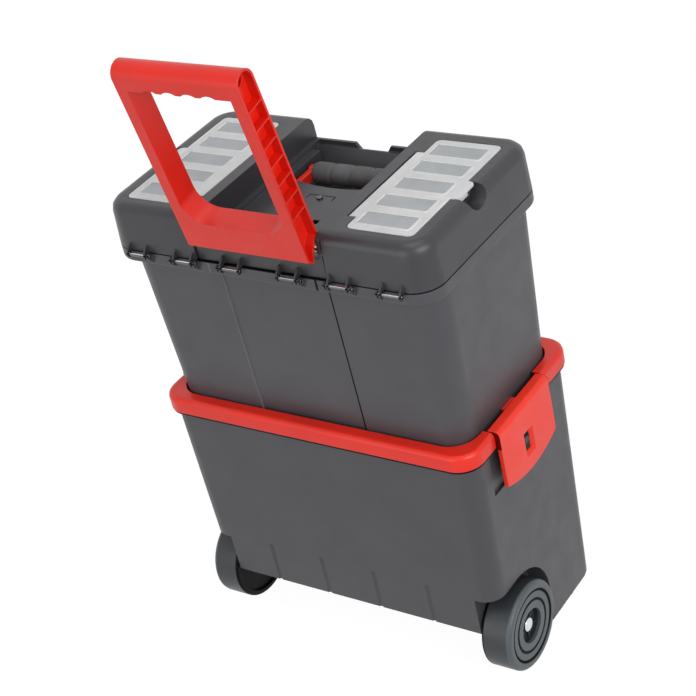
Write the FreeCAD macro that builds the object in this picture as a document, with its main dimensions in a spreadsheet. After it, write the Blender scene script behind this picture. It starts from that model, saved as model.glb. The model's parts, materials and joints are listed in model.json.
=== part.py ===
import FreeCAD, Part
import math
import os
import types

import Sketcher
from FreeCAD import Placement, Rotation, Vector

# Two-piece wheeled tool box: a lidded tool box nested in a wheeled bin.
# Millimetres. Z is up from the floor, the front faces -Y, the hinge side +Y, and X = 0 is the
# middle of the box. Every size below goes into the sheet "dims" and drives the model from there.

SIZES = {
    # Overall sizes that the others hang on.
    "bin_width": 425.0,
    "bin_height": 322.0,
    "box_height": 271.0,
    "lid_depth": 246.0,
    # Bin: a tapered tub with a lip, standing on its front base and on two wheels at the rear.
    "bin_rear_inset": 15.0,
    "bin_front_inset": 4.0,
    "bin_side_draft": 8.5,
    "bin_rear_draft": 3.0,
    "bin_front_draft": 0.5,
    "bin_corner": 24.0,
    "bin_wall": 3.2,
    "bin_floor": 4.0,
    "bin_base_round": 6.0,
    "lip_inside_rim": 1.0,
    "lip_thickness": 3.0,
    "step_ahead": 38.8,
    "step_height": 71.0,
    "rib_groove_pitch": 75.4,
    "rib_groove_radius": 3.2,
    "rib_groove_length": 57.0,
    "support_rib_thickness": 4.0,
    "support_rib_reach": 21.0,
    "support_rib_offset": 90.0,
    "support_rib_behind": 59.0,
    # Red collar on the bin's lip.
    "rim_side_overhang": 4.5,
    "rim_end_overhang": 9.0,
    "rim_corner": 29.0,
    "rim_height": 20.0,
    "rim_round": 6.0,
    "rim_clearance": 2.5,
    "rim_strip": 3.0,
    # Wheels, axle and the wells in the bin's rear corners.
    "wheel_radius": 55.5,
    "wheel_width": 38.5,
    "wheel_stand_out": 5.3,
    "wheel_from_rear": 50.7,
    "wheel_edge_round": 5.0,
    "wheel_inner_edge": 1.7,
    "wheel_hub_recess": 21.5,
    "wheel_hub_depth": 11.0,
    "wheel_hub_radius": 13.0,
    "wheel_tread": 7.0,
    "wheel_back_recess": 3.0,
    "wheel_groove_inner": 32.6,
    "wheel_groove_outer": 44.0,
    "wheel_groove_width": 3.4,
    "wheel_groove_depth": 1.8,
    "wheel_spoke_count": 6,
    "wheel_spoke_thickness": 2.2,
    "wheel_spoke_height": 3.5,
    "wheel_spoke_gap": 1.5,
    "axle_radius": 5.0,
    "axle_cap_radius": 8.6,
    "axle_cap_length": 5.5,
    "axle_cap_cover": 1.5,
    "axle_cap_edge": 0.55,
    "well_clearance": 12.5,
    "well_gap": 1.8,
    "axle_web": 5.0,
    "axle_web_drop": 32.0,
    # Side latches between the collar and the tool box.
    "latch_length": 116.0,
    "latch_behind_middle": 8.5,
    "latch_stand_out": 10.5,
    "latch_plate": 5.0,
    "latch_hang": 54.0,
    "latch_sag": 12.0,
    "latch_top_bar": 12.5,
    "latch_axis_in": 12.0,
    "latch_axis_down": 5.5,
    "latch_bar_back": 6.0,
    "latch_bar_slope": 3.0,
    "latch_pin_radius": 2.0,
    "latch_pin_reach": 5.0,
    "latch_hole_width": 22.0,
    "latch_hole_height": 34.0,
    "latch_hole_rise": 22.0,
    "latch_hole_taper": 5.0,
    "latch_nose_width": 24.0,
    "latch_nose_height": 5.0,
    "latch_nose_gap": 0.45,
    "latch_pocket_depth": 5.0,
    "latch_pocket_margin": 11.0,
    "latch_pocket_drop": 8.0,
    "catch_size": 9.0,
    # Tool box, nested in the bin on the support ribs.
    "box_nest": 37.0,
    "box_side_inset": 3.0,
    "box_rear_inset": 16.5,
    "box_front_inset": 11.5,
    "box_side_draft": 11.5,
    "box_rear_draft": 10.5,
    "box_front_draft": 1.5,
    "box_corner": 30.0,
    "box_wall": 3.0,
    "box_base_round": 7.0,
    "flange_height": 15.6,
    "flange_plate": 4.0,
    "flange_round": 2.6,
    "panel_half_width": 73.0,
    "panel_depth": 1.4,
    # Lid.
    "seam_gap": 0.4,
    "lid_overhang": 2.5,
    "lid_height": 55.0,
    "lid_corner": 32.0,
    "lid_draft": 2.0,
    "lid_edge_round": 13.0,
    "lid_wall": 3.0,
    "channel_half_width": 81.0,
    "ledge_height": 25.0,
    "deck_height": 19.0,
    "deck_half_width": 76.0,
    "trough_half_width": 66.0,
    "trough_behind_front": 19.0,
    "trough_ahead_axis": 30.0,
    "trough_rear_radius": 195.0,
    "trough_depth": 28.0,
    "front_slope_foot": 3.0,
    "notch_top_half": 25.0,
    "notch_bottom_half": 16.7,
    "notch_depth": 11.5,
    "rear_recess_half": 88.0,
    "rear_recess_depth": 3.0,
    "recess_groove_width": 2.4,
    "recess_groove_depth": 1.6,
    "drain_hole": 8.0,
    "drain_hole_x": 25.0,
    "drain_ahead_rear": 78.0,
    "deck_groove_half": 18.0,
    "deck_groove_leg": 9.0,
    "deck_groove_ahead": 7.0,
    "deck_groove_width": 1.6,
    "deck_groove_depth": 0.9,
    # Rear hinge of the lid: pairs of fins on the lid, gussets on the tool box, a steel pin each.
    "hinge_behind": 5.5,
    "hinge_below_seam": 2.0,
    "hinge_pin_radius": 2.0,
    "hinge_pin_overhang": 2.0,
    "hinge_first": 38.2,
    "hinge_pair": 12.2,
    "hinge_stagger": 4.5,
    "hinge_eye_radius": 3.7,
    "hinge_plate": 1.8,
    "hinge_fin_rise": 10.0,
    "gusset_drop": 12.0,
    # Organizer trays and their covers, one in each hump of the lid.
    "cover_from_channel": 27.0,
    "cover_side_inset": 25.0,
    "cover_rear_inset": 23.0,
    "cover_front_inset": 28.0,
    "cover_corner": 7.0,
    "cover_plate": 2.4,
    "cover_bead": 0.9,
    "cover_bead_width": 2.2,
    "cover_bead_corner": 3.6,
    "cover_window_margin": 9.0,
    "cover_window_gap": 9.5,
    "cover_strip_rear_inset": 23.0,
    "cover_strip_front_inset": 31.0,
    "cover_axis_from_channel": 19.0,
    "cover_axis_down": 3.0,
    "cover_knuckle_radius": 3.0,
    "cover_peg_radius": 2.0,
    "cover_peg_length": 4.5,
    "cover_tab_reach": 9.0,
    "cover_tab_length": 38.0,
    "cover_tab_middle": 2.0,
    "cover_prong_drop": 8.0,
    "cover_prong": 2.2,
    "cover_prong_length": 15.2,
    "cover_gap": 0.8,
    "cover_lift": 0.2,
    "tray_flange": 1.6,
    "tray_flange_width": 3.4,
    "tray_depth": 34.0,
    "tray_wall": 1.6,
    "tray_compartments": 5,
    "tray_clearance": 0.5,
    "scoop_radius": 19.0,
    "scoop_side_inset": 23.0,
    # Pull handle, drawn along its own lean: height along the handle, depth across it.
    "handle_lean": 11.0,
    "handle_ahead_rear": 9.0,
    "handle_above_seam": 32.2,
    "handle_half_width": 80.0,
    "handle_rear_face": 22.8,
    "handle_front_face": 6.2,
    "handle_short_of_lid": 8.0,
    "handle_front_end": 16.6,
    "handle_tip": 6.3,
    "handle_tip_depth": 14.7,
    "handle_rear_end": 0.7,
    "handle_hook_radius": 32.0,
    "handle_bar": 14.0,
    "handle_skin": 2.8,
    "window_bottom": 36.0,
    "window_below_top": 27.0,
    "window_bottom_round": 27.0,
    "handle_rib_first": 57.0,
    "handle_rib_count": 7,
    "handle_rib": 1.6,
    "handle_last_cell": 43.0,
    "finger_count": 4,
    "finger_pitch": 25.0,
    "finger_radius": 15.0,
    "finger_depth": 3.0,
    "handle_ear_middle": 51.0,
    "handle_ear_width": 14.0,
    "handle_ear_radius": 6.7,
    "handle_pin_radius": 3.0,
    "handle_pin_boss": 7.0,
    "handle_pin_boss_length": 8.0,
    "handle_back_ribs": 4,
    # Carry handle, lying in the trough of the lid.
    "carry_behind_front": 127.0,
    "carry_above_seam": 8.0,
    "carry_reach": 76.0,
    "carry_arm_outer": 60.0,
    "carry_arm_width": 7.5,
    "carry_arm_height": 13.0,
    "carry_arm_gap": 2.0,
    "carry_core_radius": 7.0,
    "grip_radius": 12.0,
    "grip_swell": 1.0,
    "grip_slope": 1.1,
    "grip_valley": 4.0,
    "grip_swells": 4,
    "carry_pin_radius": 3.0,
    "carry_slot_depth": 12.0,
    "screw_head_radius": 3.8,
    "screw_head_height": 2.2,
    "screw_head_edge": 0.38,
    "screw_shank_radius": 1.7,
    "screw_length": 10.0,
    "screw_ahead_axis": 6.0,
    "screw_boss_radius": 5.0,
    # Front latch, hung on the lid.
    "front_latch_half_width": 26.0,
    "front_latch_axis_rise": 5.0,
    "front_latch_axis_ahead": 5.6,
    "front_latch_pin_radius": 2.0,
    "front_latch_eye": 4.0,
    "front_latch_plate": 5.0,
    "front_latch_drop": 33.0,
    "front_latch_gap": 1.0,
    "front_latch_nose": 6.0,
    "front_latch_lug": 5.0,
    # Clearances.
    "fit": 0.05,
    "running": 0.08,
    "side_play": 0.4,
    "pin_play": 0.2,
}

doc = FreeCAD.newDocument("wheeled_tool_box")
sheet = doc.addObject("Spreadsheet::Sheet", "dims")
for row, (alias, number) in enumerate(SIZES.items(), start=1):
    sheet.set(f"A{row}", alias)
    sheet.set(f"B{row}", str(number))
    sheet.setAlias(f"B{row}", alias)
doc.recompute()


class Size:
    """A length that knows its value now and the sheet expression that gives it."""

    def __init__(self, value, text):
        self.value = float(value)
        self.text = text

    def __add__(self, other):
        return Size(self.value + value_of(other), f"({self.text} + {text_of(other)})")

    def __radd__(self, other):
        return Size(value_of(other) + self.value, f"({text_of(other)} + {self.text})")

    def __sub__(self, other):
        return Size(self.value - value_of(other), f"({self.text} - {text_of(other)})")

    def __rsub__(self, other):
        return Size(value_of(other) - self.value, f"({text_of(other)} - {self.text})")

    def __mul__(self, other):
        return Size(self.value * value_of(other), f"({self.text} * {text_of(other)})")

    def __rmul__(self, other):
        return Size(value_of(other) * self.value, f"({text_of(other)} * {self.text})")

    def __truediv__(self, other):
        return Size(self.value / value_of(other), f"({self.text} / {text_of(other)})")

    def __neg__(self):
        return Size(-self.value, f"(0 - {self.text})")


def value_of(size):
    return size.value if isinstance(size, Size) else float(size)


def text_of(size):
    return size.text if isinstance(size, Size) else f"({float(size)!r})"


d = types.SimpleNamespace(**{alias: Size(sheet.get(alias), f"dims.{alias}") for alias in SIZES})
BEYOND = 20.0  # how far a cutter runs past the face that it opens
OVERLAP = 1.0  # how far joined pieces and short cutters run into each other
SEEN_FACETS = 3  # flats that round off an edge in plain view
HIDDEN_FACETS = 2  # flats that round off a less seen edge
HINGE_FIN_BULGE = 0.95  # how far down its round eye a hinge fin's slope begins
X_AXIS, Y_AXIS, Z_AXIS = Vector(1, 0, 0), Vector(0, 1, 0), Vector(0, 0, 1)
ALONG = {
    "x": Rotation(Y_AXIS, 90),
    "y": Rotation(X_AXIS, -90),
    "z": Rotation(),
}
PLANES = {
    "xy": (Rotation(), Z_AXIS),
    "yz": (Rotation(Vector(1, 1, 1), 120), X_AXIS),
    "xz": (Rotation(X_AXIS, 90), Y_AXIS),
}
nodes = []


def bind(obj, **sizes):
    for name, size in sizes.items():
        obj.setExpression(name, text_of(size))
    return obj


def place(obj, x, y, z):
    for axis, size in zip("xyz", (x, y, z)):
        obj.setExpression(f"Placement.Base.{axis}", text_of(size))
    return obj


def box(name, x, y, z):
    """A block between the two ends given for each axis."""
    obj = doc.addObject("Part::Box", name)
    bind(obj, Length=x[1] - x[0], Width=y[1] - y[0], Height=z[1] - z[0])
    return place(obj, x[0], y[0], z[0])


def lay(obj, axis, span, across):
    """Lays a round form along an axis, from span[0] to span[1], at the two other coordinates."""
    obj.Placement = Placement(Vector(), ALONG[axis])
    bind(obj, Height=span[1] - span[0])
    where = {
        "x": (span[0], across[0], across[1]),
        "y": (across[0], span[0], across[1]),
        "z": (across[0], across[1], span[0]),
    }[axis]
    return place(obj, *where)


def rod(name, axis, radius, span, across):
    obj = bind(doc.addObject("Part::Cylinder", name), Radius=radius)
    return lay(obj, axis, span, across)


def cone(name, axis, radii, span, across):
    obj = bind(doc.addObject("Part::Cone", name), Radius1=radii[0], Radius2=radii[1])
    return lay(obj, axis, span, across)


def sketch_on(name, plane, level):
    obj = doc.addObject("Sketcher::SketchObject", name)
    obj.Placement = Placement(Vector(), PLANES[plane][0])
    axis = {"xy": "z", "yz": "x", "xz": "y"}[plane]
    obj.setExpression(f"Placement.Base.{axis}", text_of(level))
    return obj


def pin_point(sketch, edge, end, x, y):
    """Holds one end of a sketch edge at the given place."""
    for kind, size in (("DistanceX", x), ("DistanceY", y)):
        index = sketch.addConstraint(Sketcher.Constraint(kind, -1, 1, edge, end, value_of(size)))
        sketch.setExpression(f"Constraints[{index}]", text_of(size))


def outline(name, plane, level, points):
    """A closed sketch through points; a third entry in a point bows the edge that leaves it.

    The entry is (radius, side): side +1 bows to the left of the way to the next point.
    """
    sketch = sketch_on(name, plane, level)
    count = len(points)
    flat = [Vector(value_of(p[0]), value_of(p[1]), 0) for p in points]
    for i in range(count):
        start, end = flat[i], flat[(i + 1) % count]
        if len(points[i]) == 2:
            sketch.addGeometry(Part.LineSegment(start, end))
            continue
        radius, side = points[i][2]
        chord = end - start
        right = Vector(chord.y, -chord.x, 0).normalize()
        inset = math.sqrt(value_of(radius) ** 2 - (chord.Length / 2) ** 2)
        centre = (start + end) * 0.5 + right * (side * inset)
        first, last = (end, start) if side > 0 else (start, end)
        begin = math.atan2(first.y - centre.y, first.x - centre.x)
        finish = math.atan2(last.y - centre.y, last.x - centre.x)
        if finish < begin:
            finish += 2 * math.pi
        circle = Part.Circle(centre, Z_AXIS, value_of(radius))
        sketch.addGeometry(Part.ArcOfCircle(circle, begin, finish))
    tips = []
    for i in range(count):
        geometry = sketch.Geometry[i]
        first = geometry.StartPoint.distanceToPoint(flat[i])
        last = geometry.EndPoint.distanceToPoint(flat[i])
        tips.append((1, 2) if first <= last else (2, 1))
    for i in range(count):
        follower = (i + 1) % count
        sketch.addConstraint(
            Sketcher.Constraint("Coincident", i, tips[i][1], follower, tips[follower][0])
        )
        pin_point(sketch, i, tips[i][0], points[i][0], points[i][1])
        if len(points[i]) == 3:
            radius = points[i][2][0]
            index = sketch.addConstraint(Sketcher.Constraint("Radius", i, value_of(radius)))
            sketch.setExpression(f"Constraints[{index}]", text_of(radius))
    return sketch


def rounded_sketch(name, x, y, radius, level):
    """A rectangle with round corners, flat at a height."""
    sketch = sketch_on(name, "xy", level)
    r = value_of(radius)
    x0, x1 = value_of(x[0]), value_of(x[1])
    y0, y1 = value_of(y[0]), value_of(y[1])
    corners = ((x1 - r, y0 + r, 270), (x1 - r, y1 - r, 0), (x0 + r, y1 - r, 90), (x0 + r, y0 + r, 180))
    sides = (
        (Vector(x0 + r, y0, 0), Vector(x1 - r, y0, 0)),
        (Vector(x1, y0 + r, 0), Vector(x1, y1 - r, 0)),
        (Vector(x1 - r, y1, 0), Vector(x0 + r, y1, 0)),
        (Vector(x0, y1 - r, 0), Vector(x0, y0 + r, 0)),
    )
    for (start, end), (cx, cy, turn) in zip(sides, corners):
        sketch.addGeometry(Part.LineSegment(start, end))
        circle = Part.Circle(Vector(cx, cy, 0), Z_AXIS, r)
        sketch.addGeometry(Part.ArcOfCircle(circle, math.radians(turn), math.radians(turn + 90)))
    for line in range(0, 8, 2):
        sketch.addConstraint(Sketcher.Constraint("Tangent", line, 2, line + 1, 1))
        sketch.addConstraint(Sketcher.Constraint("Tangent", line + 1, 2, (line + 2) % 8, 1))
        sketch.addConstraint(Sketcher.Constraint("Horizontal" if line % 4 == 0 else "Vertical", line))
    for arc in (3, 5, 7):
        sketch.addConstraint(Sketcher.Constraint("Equal", 1, arc))
    index = sketch.addConstraint(Sketcher.Constraint("Radius", 1, r))
    sketch.setExpression(f"Constraints[{index}]", text_of(radius))
    for line, kind, size in ((0, "DistanceY", y[0]), (2, "DistanceX", x[1]),
                             (4, "DistanceY", y[1]), (6, "DistanceX", x[0])):
        index = sketch.addConstraint(Sketcher.Constraint(kind, -1, 1, line, 1, value_of(size)))
        sketch.setExpression(f"Constraints[{index}]", text_of(size))
    return sketch


def extrude(name, sketch, plane, length):
    obj = doc.addObject("Part::Extrusion", name)
    obj.Base = sketch
    obj.DirMode = "Custom"
    obj.Dir = PLANES[plane][1]
    obj.Solid = True
    return bind(obj, LengthFwd=length)


def prism(name, plane, span, points):
    """An outline drawn on a plane and carried along the plane's normal."""
    return extrude(name, outline(f"{name}_outline", plane, span[0], points), plane, span[1] - span[0])


def rounded_block(name, x, y, z, radius):
    return extrude(name, rounded_sketch(f"{name}_outline", x, y, radius, z[0]), "xy", z[1] - z[0])


def tapered_block(name, *levels):
    """A ruled loft through round-cornered rectangles, each given as (x, y, radius, height)."""
    obj = doc.addObject("Part::Loft", name)
    obj.Sections = [rounded_sketch(f"{name}_{i}", *level) for i, level in enumerate(levels)]
    obj.Solid = True
    obj.Ruled = True
    return obj


def grow(span, margin):
    return (span[0] - margin, span[1] + margin)


def half(width):
    return (-(width / 2), width / 2)


def inset_level(level, inset, z):
    """The outline of a level drawn in by an inset, at another height."""
    x, y, radius = level[:3]
    return (grow(x, -inset), grow(y, -inset), radius - inset, z)


def eased(radius, steps):
    """Insets and rises of the flat steps that round off an edge."""
    angles = [math.pi / 2 * i / steps for i in range(1, steps + 1)]
    return [(radius * (1 - math.cos(a)), radius * math.sin(a)) for a in angles]


def eased_above(level, radius, steps):
    return [inset_level(level, inset, level[3] + rise) for inset, rise in eased(radius, steps)]


def eased_below(level, radius, steps):
    """The levels of a rounded lower edge, from the lowest up."""
    return [inset_level(level, inset, level[3] - drop) for inset, drop in reversed(eased(radius, steps))]


def turn(name, sketch, y, z):
    """A sketch revolved about the line along X at the given place."""
    obj = doc.addObject("Part::Revolution", name)
    obj.Source = sketch
    obj.Axis = X_AXIS
    obj.setExpression("Base.y", text_of(y))
    obj.setExpression("Base.z", text_of(z))
    obj.Angle = 360
    obj.Solid = True
    return obj


def fuse(name, *shapes):
    obj = doc.addObject("Part::MultiFuse", name)
    obj.Shapes = list(shapes)
    return obj


def common(name, *shapes):
    obj = doc.addObject("Part::MultiCommon", name)
    obj.Shapes = list(shapes)
    return obj


def cut(name, base, *tools):
    obj = doc.addObject("Part::Cut", name)
    obj.Base = base
    obj.Tool = tools[0] if len(tools) == 1 else fuse(f"{name}_tools", *tools)
    return obj


def mirrored(name, source):
    """The same form on the other side of X = 0."""
    obj = doc.addObject("Part::Mirroring", name)
    obj.Source = source
    obj.Normal = X_AXIS
    return obj


def both_sides(name, source):
    return fuse(name, source, mirrored(f"{name}_far", source))


def node(obj, label):
    """Names a finished sub-part; its label names its file."""
    obj.Label = label
    nodes.append(obj)
    return obj


def follow_from_sizes():
    """Sizes that follow from the driving ones, so that the pieces keep together."""
    front, rear = half(d.lid_depth)
    d.lid_width = d.bin_width + 2 * d.lid_overhang
    d.bin_rear = rear - d.bin_rear_inset
    d.bin_front = front + d.bin_front_inset
    d.box_floor = d.bin_height - d.box_nest
    d.seam = d.box_floor + d.box_height
    d.flange_top = d.seam - d.seam_gap
    d.box_top_x = half(d.bin_width - 2 * d.box_side_inset)
    d.box_top_y = (front + d.box_front_inset, rear - d.box_rear_inset)
    d.box_foot_x = grow(d.box_top_x, -d.box_side_draft)
    d.box_foot_y = (d.box_top_y[0] + d.box_front_draft, d.box_top_y[1] - d.box_rear_draft)
    d.box_foot = d.box_floor + d.box_base_round
    d.wheel_centre = d.bin_rear - d.wheel_from_rear
    d.wheel_outer_face = d.bin_width / 2 + d.wheel_stand_out
    d.wheel_inner_face = d.wheel_outer_face - d.wheel_width
    d.hub_face = d.wheel_outer_face - d.wheel_hub_depth
    d.well_inner = d.wheel_inner_face - d.well_gap
    d.step_front = d.wheel_centre - d.step_ahead
    d.rim_top = d.bin_height + d.rim_height
    d.rim_outer = (
        half(d.bin_width + 2 * d.rim_side_overhang), grow((d.bin_front, d.bin_rear), d.rim_end_overhang),
        d.rim_corner, d.bin_height,
    )
    d.latch_middle = (d.bin_front + d.bin_rear) / 2 + d.latch_behind_middle
    d.latch_span = grow((d.latch_middle, d.latch_middle), d.latch_length / 2)
    d.latch_outer_face = d.bin_width / 2 + d.latch_stand_out
    d.latch_axis = (d.latch_outer_face - d.latch_axis_in, d.rim_top - d.latch_axis_down)
    d.latch_bottom = d.bin_height - d.latch_hang
    d.latch_hole_z = d.latch_bottom + d.latch_hole_rise
    d.hinge_axis = (rear + d.hinge_behind, d.seam - d.hinge_below_seam)
    d.lid_top = d.seam + d.lid_height
    d.ledge_z = d.seam + d.ledge_height
    d.deck_z = d.seam + d.deck_height
    d.carry_axis = (front + d.carry_behind_front, d.seam + d.carry_above_seam)
    d.trough_front = front + d.trough_behind_front
    d.trough_rear = d.carry_axis[0] - d.trough_ahead_axis
    d.cover_inner = d.channel_half_width + d.cover_from_channel
    d.cover_outer = d.lid_width / 2 - d.cover_side_inset
    d.cover_rear = rear - d.cover_rear_inset
    d.cover_front = front + d.cover_front_inset
    d.strip_y = (d.cover_front + d.cover_strip_front_inset, d.cover_rear - d.cover_strip_rear_inset)
    d.cover_axis = (d.channel_half_width + d.cover_axis_from_channel, d.lid_top - d.cover_axis_down)
    d.groove_inner = d.cover_axis[0] - d.cover_knuckle_radius - d.cover_gap
    d.tab_span = grow((d.cover_tab_middle, d.cover_tab_middle), d.cover_tab_length / 2)
    d.rebate_z = d.lid_top - d.cover_plate - d.cover_lift - d.tray_flange
    d.tray_corner = 2 * d.tray_wall
    d.scoop_start = d.lid_width / 2 - d.scoop_side_inset
    d.handle_axis = (rear - d.handle_ahead_rear, d.seam + d.handle_above_seam)
    d.handle_top = d.lid_depth - d.handle_short_of_lid


follow_from_sizes()


def between(low, high, height):
    """A tool box face that leans from low at the foot to high at the flange, at a height."""
    return low + (high - low) * ((height - d.box_foot) / (d.flange_top - d.box_foot))


def box_half_width(height):
    return between(d.box_foot_x[1], d.box_top_x[1], height)


def make_bin():
    top = (half(d.bin_width), (d.bin_front, d.bin_rear), d.bin_corner, d.bin_height)
    foot = (
        grow(top[0], -d.bin_side_draft),
        (d.bin_front + d.bin_front_draft, d.bin_rear - d.bin_rear_draft),
        d.bin_corner, d.bin_base_round,
    )
    skin = tapered_block("bin_skin", *eased_below(foot, d.bin_base_round, HIDDEN_FACETS), foot, top)
    well_radius = d.wheel_radius + d.well_clearance

    def well(name, margin):
        """The space of one wheel, open to the side, to the rear and below, and its mirror image."""
        radius = well_radius + margin
        front, rear = d.wheel_centre - radius, d.bin_rear + BEYOND
        one = prism(
            f"{name}_one", "yz", (d.well_inner - margin, d.bin_width / 2 + BEYOND),
            [(front, -BEYOND), (front, d.wheel_radius, (radius, 1)),
             (d.wheel_centre, d.wheel_radius + radius), (rear, d.wheel_radius + radius), (rear, -BEYOND)],
        )
        return both_sides(name, one)

    def step(name, margin):
        """The raised rear part of the floor, over the axle."""
        return box(
            name, half(d.bin_width + 2 * BEYOND), (d.step_front - margin, d.bin_rear + BEYOND),
            (-BEYOND, d.step_height + margin),
        )

    hollow = tapered_block(
        "bin_hollow", inset_level(foot, d.bin_wall, d.bin_floor),
        inset_level(top, d.bin_wall, d.bin_height + OVERLAP),
    )
    room = cut("bin_room", hollow, well("well_wall", d.bin_wall), step("step_wall", d.bin_wall))
    tub = cut("bin_tub", skin, well("well", 0), step("bin_step", 0), room)

    lip_outer = inset_level(d.rim_outer, d.lip_inside_rim, d.bin_height)
    lip_inner = inset_level(top, d.bin_wall, d.bin_height)
    lip_z = (d.bin_height - d.lip_thickness, d.bin_height)
    lip = cut(
        "bin_lip",
        rounded_block("bin_lip_plate", lip_outer[0], lip_outer[1], lip_z, lip_outer[2]),
        rounded_block("bin_lip_mouth", lip_inner[0], lip_inner[1], grow(lip_z, OVERLAP), lip_inner[2]),
    )

    ribs = []
    rib_top = d.box_floor - d.fit
    rib_half = d.support_rib_thickness / 2
    rib_at = grow((d.support_rib_offset, d.support_rib_offset), rib_half)
    ribs.append(both_sides("front_ribs", box(
        "front_rib", rib_at, (foot[1][0], d.bin_front + d.support_rib_reach), (d.bin_floor, rib_top),
    )))
    ribs.append(both_sides("rear_ribs", box(
        "rear_rib", rib_at, (d.bin_rear - d.support_rib_reach, foot[1][1]), (d.step_height, rib_top),
    )))
    side_rib_y = d.bin_front + d.support_rib_behind
    ribs.append(both_sides("side_ribs", box(
        "side_rib", (top[0][1] - d.support_rib_reach - d.bin_wall, foot[0][1]),
        grow((side_rib_y, side_rib_y), rib_half), (d.bin_floor, rib_top),
    )))

    web_x = (d.well_inner - d.axle_web, d.well_inner)
    web_y = grow((d.wheel_centre, d.wheel_centre), d.axle_web_drop / 2)
    web = fuse(
        "axle_web_one",
        box("axle_web_plate", web_x, web_y, (d.wheel_radius, d.step_height + d.bin_wall)),
        rod("axle_web_eye", "x", d.axle_web_drop / 2, web_x, (d.wheel_centre, d.wheel_radius)),
    )

    pocket_span = grow(d.latch_span, d.latch_pocket_margin)
    pocket_face = d.bin_width / 2 - d.latch_pocket_depth
    pocket_low = d.latch_bottom - d.latch_pocket_drop
    backing = common("pocket_backing", skin, box(
        "pocket_backing_block", (pocket_face - d.bin_wall, d.bin_width / 2),
        grow(pocket_span, d.bin_wall), (pocket_low - d.bin_wall, d.bin_height),
    ))
    pocket = box(
        "pocket", (pocket_face, d.bin_width / 2 + BEYOND), pocket_span,
        (pocket_low, d.bin_height + OVERLAP),
    )
    catch_z = grow((d.latch_hole_z, d.latch_hole_z), d.catch_size / 2)
    catch_root, catch_face = pocket_face - OVERLAP, d.latch_outer_face - d.latch_plate
    catch = prism(
        "catch", "xz", grow((d.latch_middle, d.latch_middle), d.catch_size / 2),
        [(catch_root, catch_z[0]), (catch_face, catch_z[0]),
         (catch_face + d.latch_plate / 2, d.latch_hole_z),
         (catch_face, catch_z[1]), (catch_root, catch_z[1])],
    )

    solid = fuse(
        "bin_solid", tub, lip, both_sides("axle_webs", web), both_sides("backings", backing), *ribs
    )
    grooves = []
    groove_y = d.bin_rear - d.bin_rear_draft / 2 + d.rib_groove_radius / 3
    for step_out in (0.5, 1.5):
        groove = rod(
            f"groove_{len(grooves)}", "z", d.rib_groove_radius,
            (d.step_height - OVERLAP, d.step_height + d.rib_groove_length),
            (step_out * d.rib_groove_pitch, groove_y),
        )
        grooves.append(both_sides(f"groove_pair_{len(grooves)}", groove))
    axle_bore = rod(
        "axle_bore", "x", d.axle_radius + d.fit, half(d.bin_width), (d.wheel_centre, d.wheel_radius)
    )
    open_bin = cut("bin_open", solid, both_sides("pockets", pocket), axle_bore, *grooves)
    node(fuse("bin_shell_solid", open_bin, both_sides("catches", catch)), "bin_shell")


def make_rim():
    shoulder = inset_level(d.rim_outer, 0, d.rim_top - d.rim_round)
    body = tapered_block(
        "rim_body", d.rim_outer, shoulder, *eased_above(shoulder, d.rim_round, SEEN_FACETS)
    )
    mouth_x = box_half_width(d.rim_top) + d.rim_clearance
    mouth_y = (
        between(d.box_foot_y[0], d.box_top_y[0], d.rim_top) - d.rim_clearance,
        between(d.box_foot_y[1], d.box_top_y[1], d.rim_top) + d.rim_clearance,
    )
    mouth = rounded_block(
        "rim_mouth", (-mouth_x, mouth_x), mouth_y, (d.bin_height - OVERLAP, d.rim_top + OVERLAP),
        d.box_corner + d.rim_clearance,
    )
    gap = box(
        "rim_gap", (mouth_x - BEYOND, d.bin_width / 2 + BEYOND), grow(d.latch_span, d.side_play),
        (d.bin_height + d.rim_strip, d.rim_top + OVERLAP),
    )
    pin_hole = rod(
        "rim_pin_hole", "y", d.latch_pin_radius + d.fit, grow(d.latch_span, d.latch_pin_reach), d.latch_axis
    )
    ring = cut(
        "rim_ring", body, mouth, both_sides("rim_gaps", gap), both_sides("rim_pin_holes", pin_hole)
    )
    node(ring, "rim_collar")


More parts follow.
